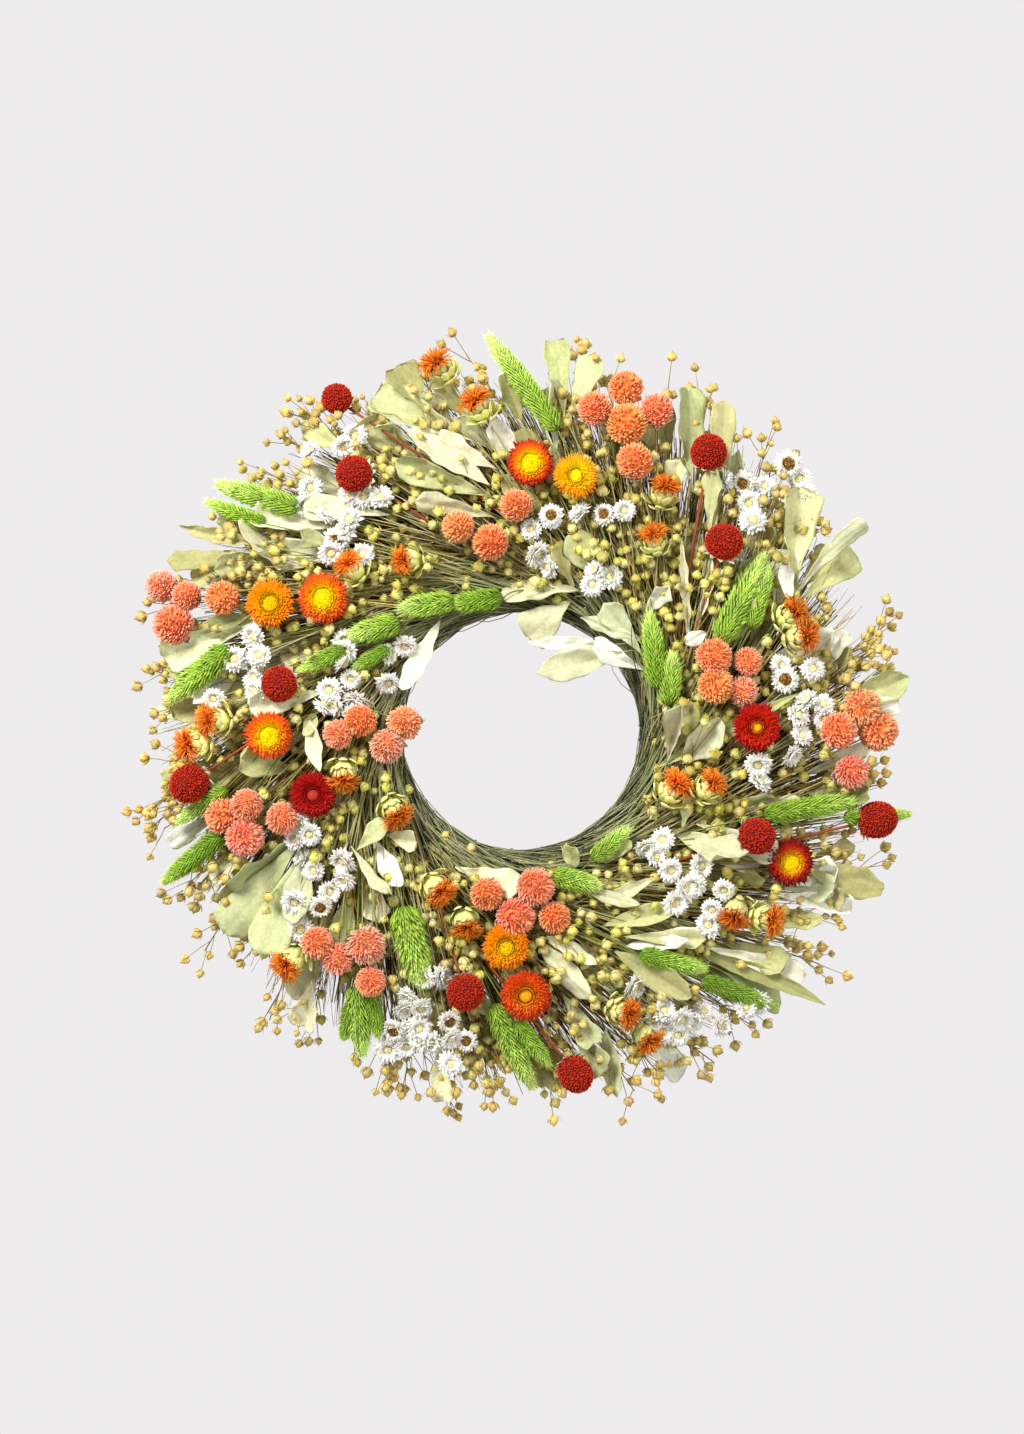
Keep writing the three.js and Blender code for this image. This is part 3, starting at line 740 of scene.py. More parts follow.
SAFFLOWERS = [
    # bearing and radius of the bud, then of the tuft, which only shows where it faces
    (102, 247, 104, 261), (97, 216, 99, 232), (59, 182, 60, 197), (54, 153, 59, 166),
    (23, 192, 24, 206), (19, 193, 18, 208), (122, 135, 128, 142), (136, 153, 136, 168),
    (182, 215, 183, 233), (178, 201, 178, 213), (192, 122, 197, 124), (210, 100, 216, 100),
    (240, 118, 246, 122), (253, 130, 256, 143), (225, 214, 225, 233), (337, 107, 344, 112),
    (342, 129, 347, 135), (321, 186, 317, 192), (322, 203, 324, 217), (289, 197, 292, 205),
    (292, 218, 293, 231),
]
EVERLASTINGS = {
    "white": [
        (87, 135), (75, 151), (85, 119), (64, 109), (60, 119), (122, 226), (127, 236),
        (131, 216), (132, 195), (129, 182), (132, 158), (121, 182), (126, 195), (45, 217),
        (45, 233), (40, 251), (12, 200), (6, 192), (5, 203), (-1, 188), (-8, 160), (-5, 182),
        (317, 123), (317, 136), (316, 152), (323, 150), (322, 172), (317, 175), (317, 113),
        (164, 182), (166, 198), (169, 182), (174, 207), (168, 131), (163, 119), (159, 127),
        (153, 133), (169, 112), (172, 126), (150, 103), (160, 95), (202, 160), (206, 157),
        (214, 167), (220, 154), (220, 168), (217, 189), (222, 199), (252, 173), (247, 193),
        (250, 197), (251, 211), (254, 218), (258, 229), (250, 226), (294, 187), (297, 211),
        (299, 221), (295, 224), (303, 225), (304, 240), (309, 240),
    ],
    "brown": [
        (82, 145), (69, 155), (134, 178), (45, 255), (48, 225), (11, 180), (221, 178),
        (247, 218), (256, 200), (260, 211),
    ],
}
SPIKES = [
    # bearing and radius of the base, then of the tip, and the width
    (83, 203, 95, 271, 16), (135, 211, 141, 266, 17), (141, 221, 144, 265, 12),
    (164, 202, 175, 238, 19), (98, 90, 119, 97, 16), (117, 98, 135, 115, 17),
    (138, 109, 151, 131, 17), (155, 130, 165, 154, 12), (148, 104, 159, 119, 11),
    (24, 145, 36, 202, 20), (24, 168, 34, 201, 13), (17, 96, 43, 117, 16),
    (10, 100, 27, 114, 16), (-19, 172, -11, 238, 16), (-15, 225, -12, 271, 13),
    (299, 98, 318, 97, 13), (282, 99, 297, 116, 16), (236, 141, 249, 183, 23),
    (237, 204, 244, 243, 17), (240, 201, 245, 227, 12), (238, 215, 240, 240, 11),
    (264, 184, 272, 242, 17), (269, 195, 275, 226, 13), (298, 169, 308, 203, 15),
    (306, 206, 313, 256, 13), (191, 201, 195, 241, 12), (199, 211, 203, 264, 15),
]
LEAVES = {
    # bearing and radius of the base, then of the tip, and the width
    "sage": [
        (99, 197, 114, 246, 23), (122, 223, 126, 258, 12), (135, 175, 138, 198, 12),
        (146, 213, 155, 245, 16), (158, 193, 168, 245, 20), (82, 213, 85, 263, 15),
        (81, 213, 79, 256, 17), (96, 156, 114, 198, 16), (96, 143, 114, 172, 13),
        (67, 103, 97, 97, 17), (69, 95, 86, 65, 23), (66, 115, 75, 137, 17),
        (56, 204, 64, 257, 22), (46, 182, 54, 218, 11), (27, 205, 41, 247, 23),
        (25, 206, 28, 260, 17), (26, 205, 34, 265, 11), (-15, 94, 7, 182, 9),
        (5, 219, 8, 261, 17), (326, 122, 330, 172, 23), (329, 126, 339, 122, 11),
        (205, 158, 208, 220, 22), (206, 163, 214, 242, 23), (208, 163, 220, 226, 24),
        (209, 163, 220, 198, 17), (216, 136, 214, 110, 13), (292, 141, 311, 158, 11),
        (296, 153, 311, 184, 11), (302, 106, 314, 98, 15), (292, 99, 292, 81, 9),
        (310, 211, 314, 258, 16), (175, 139, 182, 143, 8), (38, 86, 71, 42, 16),
        (295, 126, 312, 134, 7), (292, 115, 304, 142, 7), (23, 157, 29, 182, 7),
        (32, 96, 56, 102, 15),
    ],
    "olive": [
        (106, 221, 109, 259, 20), (112, 230, 120, 234, 9), (113, 213, 115, 242, 7),
        (146, 212, 154, 260, 13), (145, 219, 149, 266, 8), (157, 198, 163, 229, 9),
        (69, 102, 80, 125, 15), (46, 187, 58, 258, 15), (-9, 103, 9, 115, 17),
        (334, 210, 336, 263, 17), (293, 160, 303, 208, 16), (308, 186, 319, 268, 9),
        (141, 166, 147, 174, 9),
    ],
    "cream": [
        (132, 183, 141, 231, 15), (135, 169, 146, 214, 17), (121, 170, 134, 208, 15),
        (97, 167, 111, 212, 16), (95, 176, 106, 203, 16), (37, 101, 62, 86, 8),
        (29, 128, 49, 166, 5), (32, 142, 42, 173, 5), (43, 110, 45, 140, 11),
        (26, 201, 33, 210, 8),
        (28, 141, 28, 121, 8), (3, 222, 4, 254, 11), (332, 133, 335, 189, 15),
        (327, 200, 332, 251, 13), (168, 131, 175, 182, 15), (177, 142, 192, 137, 9),
        (214, 137, 231, 144, 11), (216, 123, 232, 131, 12), (217, 114, 227, 102, 12),
        (230, 219, 234, 250, 19), (255, 215, 258, 254, 13), (244, 102, 269, 104, 17),
        (273, 137, 284, 184, 13), (277, 138, 288, 164, 8), (296, 160, 309, 183, 8),
        (305, 164, 314, 186, 5), (310, 188, 319, 249, 13), (291, 223, 297, 261, 17),
        (26, 92, 50, 75, 15), (44, 82, 84, 60, 8), (126, 92, 161, 82, 12),
    ],
}
CURLED = [
    # deeply rolled cream leaves, given in the same way
    (-12, 108, 4, 134, 17), (-13, 100, 12, 112, 12),
]
LEAF_COLOURS = {
    "sage": ["CCCE98", "BEC288", "D8D8AC", "C6C68A"],
    "olive": ["B4B072", "A6A66C", "BEBA80"],
    "cream": ["ECEAD0", "E0DEB8", "F2F0DE", "DCDAAE"],
}
LEAF_LIFT = 3.0          # in front of the sprays' surface
EVERLASTING_LIFT = 6.0
SAFFLOWER_LIFT = 8.0
SPIKE_LIFT = 8.5
GLOBE_LIFT = 12.0
STRAWFLOWER_LIFT = 13.0
DRUMSTICK_LIFT = 15.0

GLOBE_STEM_INSIDE = 104  # globe amaranths' stems end no nearer the centre
occupied = []            # centre and radius of each head, which flax bolls keep clear of


def outward(bearing):
    """The radial direction at a bearing."""
    return polar(bearing, 1.0, 0.0) - polar(bearing, 0.0, 0.0)


def leaning(bearing, radius):
    """The direction in which a straight stem runs when it reaches a place."""
    return outward(bearing + 90 - turned(max(radius, LEAN_INSIDE)))


def on_front(bearing, radius, lift, shift=0.0):
    """A place that far in front of the sprays' front surface, shifted back a little."""
    return polar(bearing, radius, front_of(radius) - lift + shift)


def stem_paths(bearings, radii, depths, steps, bow):
    """Nearly straight stems from the ring out to places at given depths."""
    count = len(radii)
    graze = np.clip(TANGENT_RADIUS + rng.normal(0, GRAZE_SPREAD, count), *GRAZE_RANGE)
    graze = np.minimum(graze, radii - 2)
    foot_bearing = bearings - np.degrees(np.arccos(np.clip(graze / radii, -1, 1)))
    foot_depth = np.minimum(wire_low[1] + rng.uniform(-3, 22, count), FOOT_DEPTH)
    foot = polar(foot_bearing, graze, foot_depth)
    end = polar(bearings, radii, depths)
    t = np.linspace(0, 1, steps)
    paths = foot[:, None] * (1 - t)[:, None] + end[:, None] * t[:, None]
    sway = np.sin(np.pi * t)[:, None] * rng.normal(0, bow, (count, 1, 3))
    early = (np.sin(np.pi * t) * EARLY)[:, None] * (depths - foot_depth)[:, None, None]
    return paths + sway - early * FORWARD


RING_GREY = linear("868A66")
GREY_FROM = 132          # radius inside which stems begin to turn grey-green
GREY_SPAN = 36
GREY_SHARE = 0.6


def from_centre(points):
    """Distance of points from the ring's axis."""
    return np.hypot(points[:, 0] - RING_CENTRE[0], points[:, 2] - RING_CENTRE[2])


def greyed(shape):
    """Stems turn grey-green towards the ring and keep their own brightness."""
    near = np.clip((GREY_FROM - from_centre(shape.points)) / GREY_SPAN, 0, 1)[:, None]
    near = near * GREY_SHARE
    bright = shape.tint.mean(axis=1, keepdims=True) / RING_GREY.mean()
    shape.tint = shape.tint * (1 - near) + RING_GREY * np.clip(bright, 0.3, 1.5) * near
    return shape


def stem_to(place, facing, bearing, radius, thickness, code, back=4.0, bury=7.0):
    """A flower's own stem: from the ring, along the sprays' surface, into its head."""
    steps = 13
    end_radius = max(radius, STEM_END_INSIDE)
    arrays = (np.array([value]) for value in (bearing, end_radius, place[1]))
    path = stem_paths(*arrays, steps, 1.5)[0]
    t = np.linspace(0, 1, steps)
    path[:, 1] = front_of(from_centre(path)) + bury * (1 - t) ** 1.3
    end = place - facing * back
    path = path + (end - path[-1]) * (t ** 4)[:, None]
    width = np.linspace(thickness * 1.1, thickness * 0.8, steps)
    return greyed(tubes(path[None], width[None], 7, linear(code)))


def make_strawflowers():
    """Strawflowers face forward, tilted outwards a little."""
    for index, (bearing, radius, size, stops, disc) in enumerate(STRAWFLOWERS, 1):
        place = on_front(bearing, radius, STRAWFLOWER_LIFT)
        facing = unit(FORWARD + outward(bearing) * 0.12 + rng.normal(0, 0.06, 3))
        head = stamp(strawflower(size, stops, disc), any_axes(facing), place)
        stem = stem_to(place, facing, bearing, radius, 0.8, "8A8048", 8)
        name = f"strawflower_{index:02d}"
        add_piece(f"flower_{name}", join([head, stem]), PETAL, [name])
        occupied.append((place, size))


def make_drumsticks():
    """Drumsticks lean out along their stems."""
    for index, (bearing, radius, size, length) in enumerate(DRUMSTICKS, 1):
        place = on_front(bearing, radius, DRUMSTICK_LIFT)
        along = leaning(bearing, radius)
        facing = unit(FORWARD * 0.55 + along * 0.85 + rng.normal(0, 0.05, 3))
        head = stamp(drumstick(size, length), any_axes(facing), place)
        stem = stem_to(place, facing, bearing, radius, 1.2, "9A5236", size * 0.8, 12)
        name = f"drumstick_{index:02d}"
        add_piece(f"head_{name}", join([head, stem]), FLORET, [name])
        occupied.append((place, size))


def make_globes():
    """Clusters of globe amaranths, each head facing its own way."""
    for index, cluster in enumerate(GLOBES, 1):
        parts = []
        for bearing, radius, size, pale in cluster:
            place = on_front(bearing, radius, GLOBE_LIFT, rng.normal(0, 1.5))
            facing = unit(FORWARD + leaning(bearing, radius) * 0.55 + rng.normal(0, 0.26, 3))
            blush = (1, rng.uniform(0.86, 1.04), rng.uniform(0.9, 1.5))
            parts.append(stamp(globe(size, pale), any_axes(facing), place, 1.0, [blush]))
            inner = max(radius, GLOBE_STEM_INSIDE)
            parts.append(stem_to(place, facing, bearing, inner, 0.55, "A89A62", size * 0.7))
            occupied.append((place, size))
        add_piece(f"heads_globes_{index:02d}", join(parts), GLOBE,
                  [f"globes_{index:02d}"])


def grouped(places):
    """Rows sorted into the ten bundles by their first bearing and radius."""
    groups = [[] for _ in range(BUNDLES)]
    for row in places:
        groups[bundle_of(row[0], row[1])].append(row)
    return groups


def add_by_bundle(groups, grow, name, material, node):
    """One piece for each bundle that has rows; grow gives the parts of one row."""
    for index, rows in enumerate(groups, 1):
        parts = [part for row in rows for part in grow(*row)]
        if parts:
            add_piece(f"{name}_{index:02d}", join(parts), material,
                      [f"{node}_{index:02d}"])


def with_companions(rows):
    """The listed heads, and a white head close beside every other one."""
    companions = []
    for bearing, radius, _ in rows[::2]:
        step = rng.uniform(8, 12) * rng.choice([-1, 1])
        companions.append((bearing + math.degrees(step / radius),
                           radius + rng.uniform(-9, 9), "white"))
    return rows + companions


def make_everlastings():
    """White heads tilt more than those with a brown centre."""
    heads = {
        "white": [everlasting(9.6, ["E8D98A", "F2EAC0"], 0.2) for _ in range(3)],
        "brown": [everlasting(10.0, ["8A6428", "B98A3C", "6E4A20"], 0.46) for _ in range(2)],
    }
    tilts = {"white": 0.38, "brown": 0.28}

    def grow(bearing, radius, kind):
        place = on_front(bearing, radius, EVERLASTING_LIFT, rng.uniform(-3, 5))
        tilt = rng.normal(0, tilts[kind], 3)
        facing = unit(FORWARD + leaning(bearing, radius) * 0.25 + tilt)
        template = heads[kind][rng.integers(len(heads[kind]))]
        size = rng.uniform(0.82, 1.08)
        occupied.append((place, 9 * size))
        return (stamp(template, any_axes(facing), place, size, varied(1, 0.03, 0.01)),
                stem_to(place, facing, bearing, radius, 0.45, "B5B184", 3))

    rows = [(*place, kind) for kind, places in EVERLASTINGS.items() for place in places]
    groups = (with_companions(group) for group in grouped(rows))
    add_by_bundle(groups, grow, "everlastings", WHITE, "spray")


def make_safflowers():
    """Safflowers face their tufts, half turned to the front."""
    usual = 9.5
    templates = [safflower(usual) for _ in range(3)]

    def grow(bearing, radius, tuft_bearing, tuft_radius):
        place = on_front(bearing, radius, SAFFLOWER_LIFT)
        toward = polar(tuft_bearing, tuft_radius, place[1]) - place
        facing = unit(unit(toward) + FORWARD * 0.75)
        template = templates[rng.integers(3)]
        size = rng.uniform(1.0, 1.18)
        occupied.append((place + facing * 4, usual * size))
        return (stamp(template, any_axes(facing), place, size, varied(1, 0.06)),
                stem_to(place, facing, bearing, radius, 0.7, "A8A060", 7))

    add_by_bundle(grouped(SAFFLOWERS), grow, "safflowers", SAFFLOWER, "spray")


SPIKE_GREENS = [
    [(0, "8CB036"), (0.5, "ACD04C"), (1, "CEE678")],
    [(0, "9CBC42"), (0.6, "BAD85E"), (1, "D6EC8A")],
    [(0, "80A232"), (0.7, "9CC242"), (1, "C0DC6A")],
]


def make_spikes():
    """Grass spikes lie along the sprays' front."""
    def grow(from_bearing, from_radius, to_bearing, to_radius, width):
        base = on_front(from_bearing, from_radius, SPIKE_LIFT)
        along = on_front(to_bearing, to_radius, SPIKE_LIFT, 2) - base
        green = SPIKE_GREENS[rng.integers(3)]
        for share in np.linspace(0.1, 0.9, 4):
            occupied.append((base + along * share, width / 2))
        body = spike(width, np.linalg.norm(along), green)
        return (stamp(body, flat_along(FORWARD, along), base),
                stem_to(base, unit(along), from_bearing, from_radius, 0.6, "7C8A3C", 1))

    add_by_bundle(grouped(SPIKES), grow, "grass_spikes", GRASS, "greens")


OUTLINE_SLACK = 1.3      # outlines and curling make a leaf look narrower than its width
BROAD_LEAF = 9           # a leaf wider than this has a broad end


def leaf(length, width, kind, curl=0.0):
    """One dried leaf, curled, cupped and rippled a little differently each time."""
    outline = (paddle, paddle, oblong)[rng.integers(3)] if width > BROAD_LEAF else lens
    width = width * OUTLINE_SLACK
    body = blade(length, width, rows=25, cols=13, outline=outline,
                 bend=rng.normal(0.25, 0.4), cup=curl + rng.normal(0.2, 0.22), thick=0.5,
                 twist=rng.normal(0, 0.4), wave=width * rng.uniform(0.02, 0.08), tip=0.05)
    side, run = body.place[:, 0], body.place[:, 1]
    body.points[:, 2] -= np.exp(-(side / (0.09 * width)) ** 2) * rng.uniform(0.3, 1.2)
    phase = rng.uniform(0, 2 * np.pi, 3)
    ripple = np.sin(run * rng.uniform(0.2, 0.4) + side * 0.5 + phase[0])
    fold = np.sin(run * rng.uniform(0.08, 0.14) + side * rng.uniform(-0.4, 0.4) + phase[1])
    body.points[:, 2] += ripple * rng.uniform(0.15, 0.6) + fold * width * 0.05
    edge = np.sin(run * 0.42 + phase[2]) * (side / width) * rng.uniform(0.3, 1.8)
    body.points[:, 0] += edge
    body.points[:, 1] += np.cos(side * rng.uniform(0.5, 0.9) + phase[0]) * (run / length) * 1.3
    colour = linear(LEAF_COLOURS[kind][rng.integers(len(LEAF_COLOURS[kind]))])
    across = np.abs(side) / (width / 2)
    spacing = rng.uniform(5.5, 8)
    vein = np.clip(np.cos(2 * np.pi * (run - 0.8 * np.abs(side)) / spacing), 0, 1) ** 4
    body.points[:, 2] -= 0.45 * vein * np.clip(1.1 - across, 0, 1)
    # the midrib and veins are tinted darker: painted shade in their grooves
    midrib = np.exp(-(across / 0.05) ** 2)
    shade = 0.93 + 0.1 * np.clip(run / length, 0, 1) - 0.12 * midrib - 0.07 * vein
    body.tint = colour * shade[:, None] * varied(1, 0.05, 0.015)
    return body


FILLER_LEAVES = 15       # half-hidden leaves behind the listed ones, in each bundle
FILLER_REACH = (128, 214)
DEEP_CURL = 1.3          # added to the cupping of the rolled leaves


def filler_leaves(index):
    """Leaves deeper in the spray: they close the gaps between the stems."""
    parts = []
    bearings, radii = spread_places(index, FILLER_LEAVES, *FILLER_REACH, 0.9)
    for bearing, radius in zip(bearings, radii):
        depth = front_of(radius) + rng.uniform(5, 16)
        base = polar(bearing, radius, depth + 3)
        length = rng.uniform(34, 52)
        way = leaning(bearing + rng.normal(0, 16), radius)
        along = unit(way - FORWARD * rng.uniform(-0.05, 0.25))
        facing = unit(FORWARD + rng.normal(0, 0.35, 3))
        kind = ("sage", "sage", "olive", "cream")[rng.integers(4)]
        body = leaf(length, rng.uniform(9, 19), kind)
        parts.append(stamp(body, flat_along(facing, along), base))
        parts.append(stem_to(base, along, bearing, radius, 0.5, "9C9860", 1, 14))
    return parts


def make_leaves():
    """Every bundle's leaves, the half-hidden ones first."""
    rows = [(*row, kind, 0.0) for kind, group in LEAVES.items() for row in group]
    rows += [(*row, "cream", DEEP_CURL) for row in CURLED]
    for index, group in enumerate(grouped(rows), 1):
        parts = filler_leaves(index - 1)
        for from_bearing, from_radius, to_bearing, to_radius, width, kind, curl in group:
            lift = LEAF_LIFT + rng.uniform(-1.5, 4.5)
            base = on_front(from_bearing, from_radius, lift, 4)
            along = on_front(to_bearing, to_radius, lift) - base
            facing = unit(FORWARD + rng.normal(0, 0.22, 3))
            body = leaf(np.linalg.norm(along) * 1.04, width, kind, curl)
            parts.append(stamp(body, flat_along(facing, along), base))
            parts.append(stem_to(base, unit(along), from_bearing, from_radius, 0.6, "9C9860", 1))
        add_piece(f"leaves_{index:02d}", join(parts), LEAF,
                  [f"greens_{index:02d}"])


# ---- Fine stems, flax and the ring --------------------------------------------------

def clear_of_heads(points, margin):
    """True where a point is neither inside a head nor in front of its face."""
    keep = np.ones(len(points), bool)
    for centre, radius in occupied:
        gap = points - centre
        near = np.linalg.norm(gap, axis=1) < radius + margin
        over = (np.hypot(gap[:, 0], gap[:, 2]) < radius * 0.9) & (gap[:, 1] < 0)
        keep &= ~(near | over)
    return keep


def spread_places(index, count, low, high, power):
    """Random bearings and radii inside one bundle's share of the wreath."""
    radii = low + (high - low) * rng.uniform(0, 1, count) ** power
    feet = (index - 0.5 + rng.uniform(-0.08, 1.08, count)) * BUNDLE_SPAN
    return feet + turned(radii), radii


STEM_COLOURS = ["BC9844", "D4B464", "8E7234", "E4CC8C", "98903E", "5A4620"]
# near-black stems deep in the spray: painted shade in the gaps between the stems
PAINTED_SHADE_STEM_COLOURS = ["342A16", "524626", "241E10", "665A30"]
EDGE_COLOURS = ["8C8E68", "6C7050", "A8A880", "50543A", "BCBA92", "787C5A"]
STEMS_PER_BUNDLE = 560
DEEP_STEMS_PER_BUNDLE = 430
EDGE_STEMS = 150         # short stems at each bundle's foot, laid across the ring's front
EDGE_RADIUS = 80.5       # the ring's inner edge, which they graze
EDGE_BAND = 16
FLAX_PER_BUNDLE = 46
FLAX_REACH = (84, 284)   # the least and greatest radius of a boll
RIPE_FROM = 170          # radius from which bolls turn from green-yellow to gold
RIPE_SPAN = 90


def edge_stems(index):
    """Straight stems that graze the ring's inner edge and run out under the flowers."""
    count = EDGE_STEMS
    bearing = (index - 0.5 + rng.uniform(-0.1, 1.1, count)) * BUNDLE_SPAN
    graze = EDGE_RADIUS + EDGE_BAND * rng.uniform(0, 1, count) ** 1.3
    start, end = rng.uniform(-34, -8, count), rng.uniform(34, 84, count)
    steps = np.linspace(0, 1, 7)
    run = start[:, None] + (end - start)[:, None] * steps
    radii = np.hypot(graze[:, None], run)
    bearings = bearing[:, None] + np.degrees(np.arctan2(run, graze[:, None]))
    first = wire_low[1] - rng.uniform(-1, 5, count)
    depths = first[:, None] - rng.uniform(2, 20, (count, 1)) * steps
    bow = np.sin(np.pi * steps)[:, None] * rng.normal(0, 1.2, (count, 1, 3))
    thick = rng.uniform(0.2, 0.46, (count, 1)) * np.linspace(1.1, 0.7, 7)
    return tubes(polar(bearings, radii, depths) + bow, thick, 4, chosen(EDGE_COLOURS, count, 0.14))


def stem_layer(index, count, reach, power, share, steps, bow, thickness, taper, codes):
    """One bundle's stems that end between two radii and two shares of the depth."""
    bearings, radii = spread_places(index, count, *reach, power)
    share = rng.uniform(*share, count)
    depths = back_of(radii) + (front_of(radii) + 2 - back_of(radii)) * share
    paths = stem_paths(bearings, radii, depths, steps, bow)
    thick = rng.uniform(*thickness, (count, 1)) * np.linspace(*taper, steps)
    return tubes(paths, thick, 4, chosen(codes, count, 0.14))


def make_fine_stems():
    """Pale thin stems in front, thick near-black ones behind as painted shade, and short ones
    across the ring.
    """
    for index in range(BUNDLES):
        front = stem_layer(index, STEMS_PER_BUNDLE, (108, 247), 0.9, (0.2, 1.06), 8, 7,
                           (0.2, 0.45), (1.2, 0.5), STEM_COLOURS)
        # the deep stems take near-black colours: painted shade behind the front ones
        deep = stem_layer(index, DEEP_STEMS_PER_BUNDLE, (120, 233), 0.7, (0, 0.75), 7, 4,
                          (0.7, 1.4), (1.1, 0.3), PAINTED_SHADE_STEM_COLOURS)
        whole = join([greyed(front), deep, edge_stems(index)])
        add_piece(f"fine_stems_{index + 1:02d}", whole, STEM,
                  [f"spray_{index + 1:02d}"])


def flax_branches(index):
    """Stem and branch paths of one bundle's flax."""
    bearings, radii = spread_places(index, FLAX_PER_BUNDLE, 104, 262, 0.95)
    depths = front_of(radii) + rng.uniform(-4, 13, FLAX_PER_BUNDLE)
    stems = stem_paths(bearings, radii, depths, 9, 5)
    branches = []
    for path in stems:
        along = unit(path[-1] - path[-3])
        for _ in range(rng.integers(5, 10)):
            start = path[-1] - along * rng.uniform(0, 38)
            side = rng.normal(0, 0.5, 3) * np.array([1, 0.7, 1])
            way = unit(along + side)
            long = rng.uniform(7, 20)
            steps = np.linspace(0, 1, 4)[:, None]
            branches.append(start + way * long * steps + along * 3 * steps ** 2)
    return stems, np.array(branches)


def make_flax():
    """A boll on every branch that ends clear of the heads and inside the wreath."""
    boll = flax_boll()
    for index in range(BUNDLES):
        stems, branches = flax_branches(index)
        radius = from_centre(branches[:, -1])
        inside = (radius > FLAX_REACH[0]) & (radius < FLAX_REACH[1])
        keep = inside & clear_of_heads(branches[:, -1], 2.5)
        branches, radius = branches[keep], radius[keep]
        ends = branches[:, -1]
        ways = unit(ends - branches[:, -2])
        count = len(ends)
        gold = np.clip((radius - RIPE_FROM) / RIPE_SPAN, 0, 1)[:, None]
        tints = (chosen(["E8E48C", "DEDA7A", "F0ECA8"], count) * (1 - gold)
                 + chosen(["E6D08A", "DCC276", "D4BE82"], count) * gold)
        sizes = rng.normal(0.76, 0.09, count)
        heads = stamp(boll, any_axes(ways, count), ends, sizes, tints)
        twigs = tubes(branches, np.linspace(0.34, 0.24, 4), 4,
                      chosen(["A8975A", "8C7C4A"], count))
        stalks = tubes(stems, np.linspace(0.7, 0.4, 9), 4,
                       chosen(["A8975A", "8C7C4A", "7A7A48"], len(stems)))
        add_piece(f"flax_{index + 1:02d}", join([heads, twigs, stalks]), SEED,
                  [f"spray_{index + 1:02d}"])


def ring_point(bearing, across, depth):
    """A point on the bound ring: offsets across it and from front to back."""
    return polar(bearing, CORE_RADIUS + across, RING_CENTRE[1] + depth)


def make_bound_stems():
    """Stems laid along the ring all round its section, over a near-black heart that is painted
    shade between them.
    """
    count = 420
    steps = 26
    start = rng.uniform(0, 360, count)
    span = rng.uniform(45, 120, count)
    around = rng.uniform(0, 2 * np.pi, count)
    drift = rng.normal(0, 0.45, count)
    share = rng.uniform(0.86, 0.985, count)
    t = np.linspace(0, 1, steps)
    bearing = start[:, None] + span[:, None] * t
    phase = around[:, None] + drift[:, None] * t
    across = share[:, None] * CORE_HALF_WIDTH * np.cos(phase)
    depth = share[:, None] * CORE_HALF_DEPTH * np.sin(phase)
    paths = ring_point(bearing, across, depth)
    colours = ["6E6F52", "54563C", "7E7F5C", "403F2C", "8E8E6A", "343226"]
    thick = rng.uniform(0.6, 1.25, (count, 1)) * np.linspace(1.1, 0.7, steps)
    stems = tubes(paths, thick, 5, chosen(colours, count, 0.14))
    joints, sides = 97, 16
    turn = np.linspace(0, 360, joints)
    line = ring_point(turn, 0, 0)
    # a near-black tube inside the laid stems: painted shade in the gaps between them
    heart = tubes(line[None], 1.0, sides, linear("2A2618"))
    offset = heart.points - np.concatenate([np.repeat(line, sides, axis=0), line[[0, -1]]])
    widths = np.array([CORE_HALF_WIDTH, CORE_HALF_DEPTH, CORE_HALF_WIDTH]) * 0.9
    heart.points = heart.points + offset * (widths - 1)
    add_piece("bound_ring_stems", join([heart, stems]), BOUND, ["stem_core"])


def winding_section():
    """The closed line that a wire pulled tight takes round the bound stems and both rails."""
    turn = np.linspace(0, 2 * np.pi, 120, endpoint=False)
    circle = np.stack([np.cos(turn), np.sin(turn)], axis=1)
    rail_side = (OUTER_RAIL - INNER_RAIL) / 2
    around = np.concatenate([
        circle * [CORE_HALF_WIDTH + WINDING_WIRE, CORE_HALF_DEPTH + WINDING_WIRE],
        circle * (RAIL_WIRE + WINDING_WIRE) + [rail_side, -RING_CENTRE[1]],
        circle * (RAIL_WIRE + WINDING_WIRE) + [-rail_side, -RING_CENTRE[1]]])
    way = np.stack([np.sin(turn), -np.cos(turn)], axis=1)
    corners = around[np.argmax(way @ around.T, axis=1)]
    line = np.concatenate([corners, corners[:1]])
    run = np.concatenate([[0], np.cumsum(np.linalg.norm(np.diff(line, axis=0), axis=1))])
    return line, run / run[-1]


def make_binding_wire():
    """The winding, two turns to a bundle, in front at each strap."""
    turns = 2 * BUNDLES
    t = np.linspace(0.002, 0.998, turns * 54)
    line, run = winding_section()
    across = np.interp((turns * t) % 1, run, line[:, 0])
    depth = np.interp((turns * t) % 1, run, line[:, 1])
    wire = tubes(ring_point(90 + 360 * t, across, depth)[None], WINDING_WIRE, 6)
    add_piece("winding", wire, GREEN_WIRE, ["binding_wire"])


def torus(radius, wire, centre, axis_x=False, segments=120, sides=12):
    """A ring of wire about the Y axis, or about the X axis."""
    turn = np.linspace(0, 2 * np.pi, segments, endpoint=False)[:, None]
    section = np.linspace(0, 2 * np.pi, sides, endpoint=False)[None]
    reach = radius + wire * np.cos(section)
    height = wire * np.sin(section) + 0 * turn
    first, second = reach * np.cos(turn), reach * np.sin(turn)
    order = (height, first, second) if axis_x else (first, height, second)
    points = np.stack(order, axis=-1).reshape(-1, 3) + centre
    row = np.arange(segments)[:, None] * sides
    after = np.roll(np.arange(segments), -1)[:, None] * sides
    here = np.arange(sides)[None]
    following = np.roll(here, -1, axis=1)
    quads = np.stack([row + here, row + following, after + following, after + here], axis=-1)
    flip = slice(None) if axis_x else slice(None, None, -1)
    return Shape(points, quads.reshape(-1, 4)[:, flip])


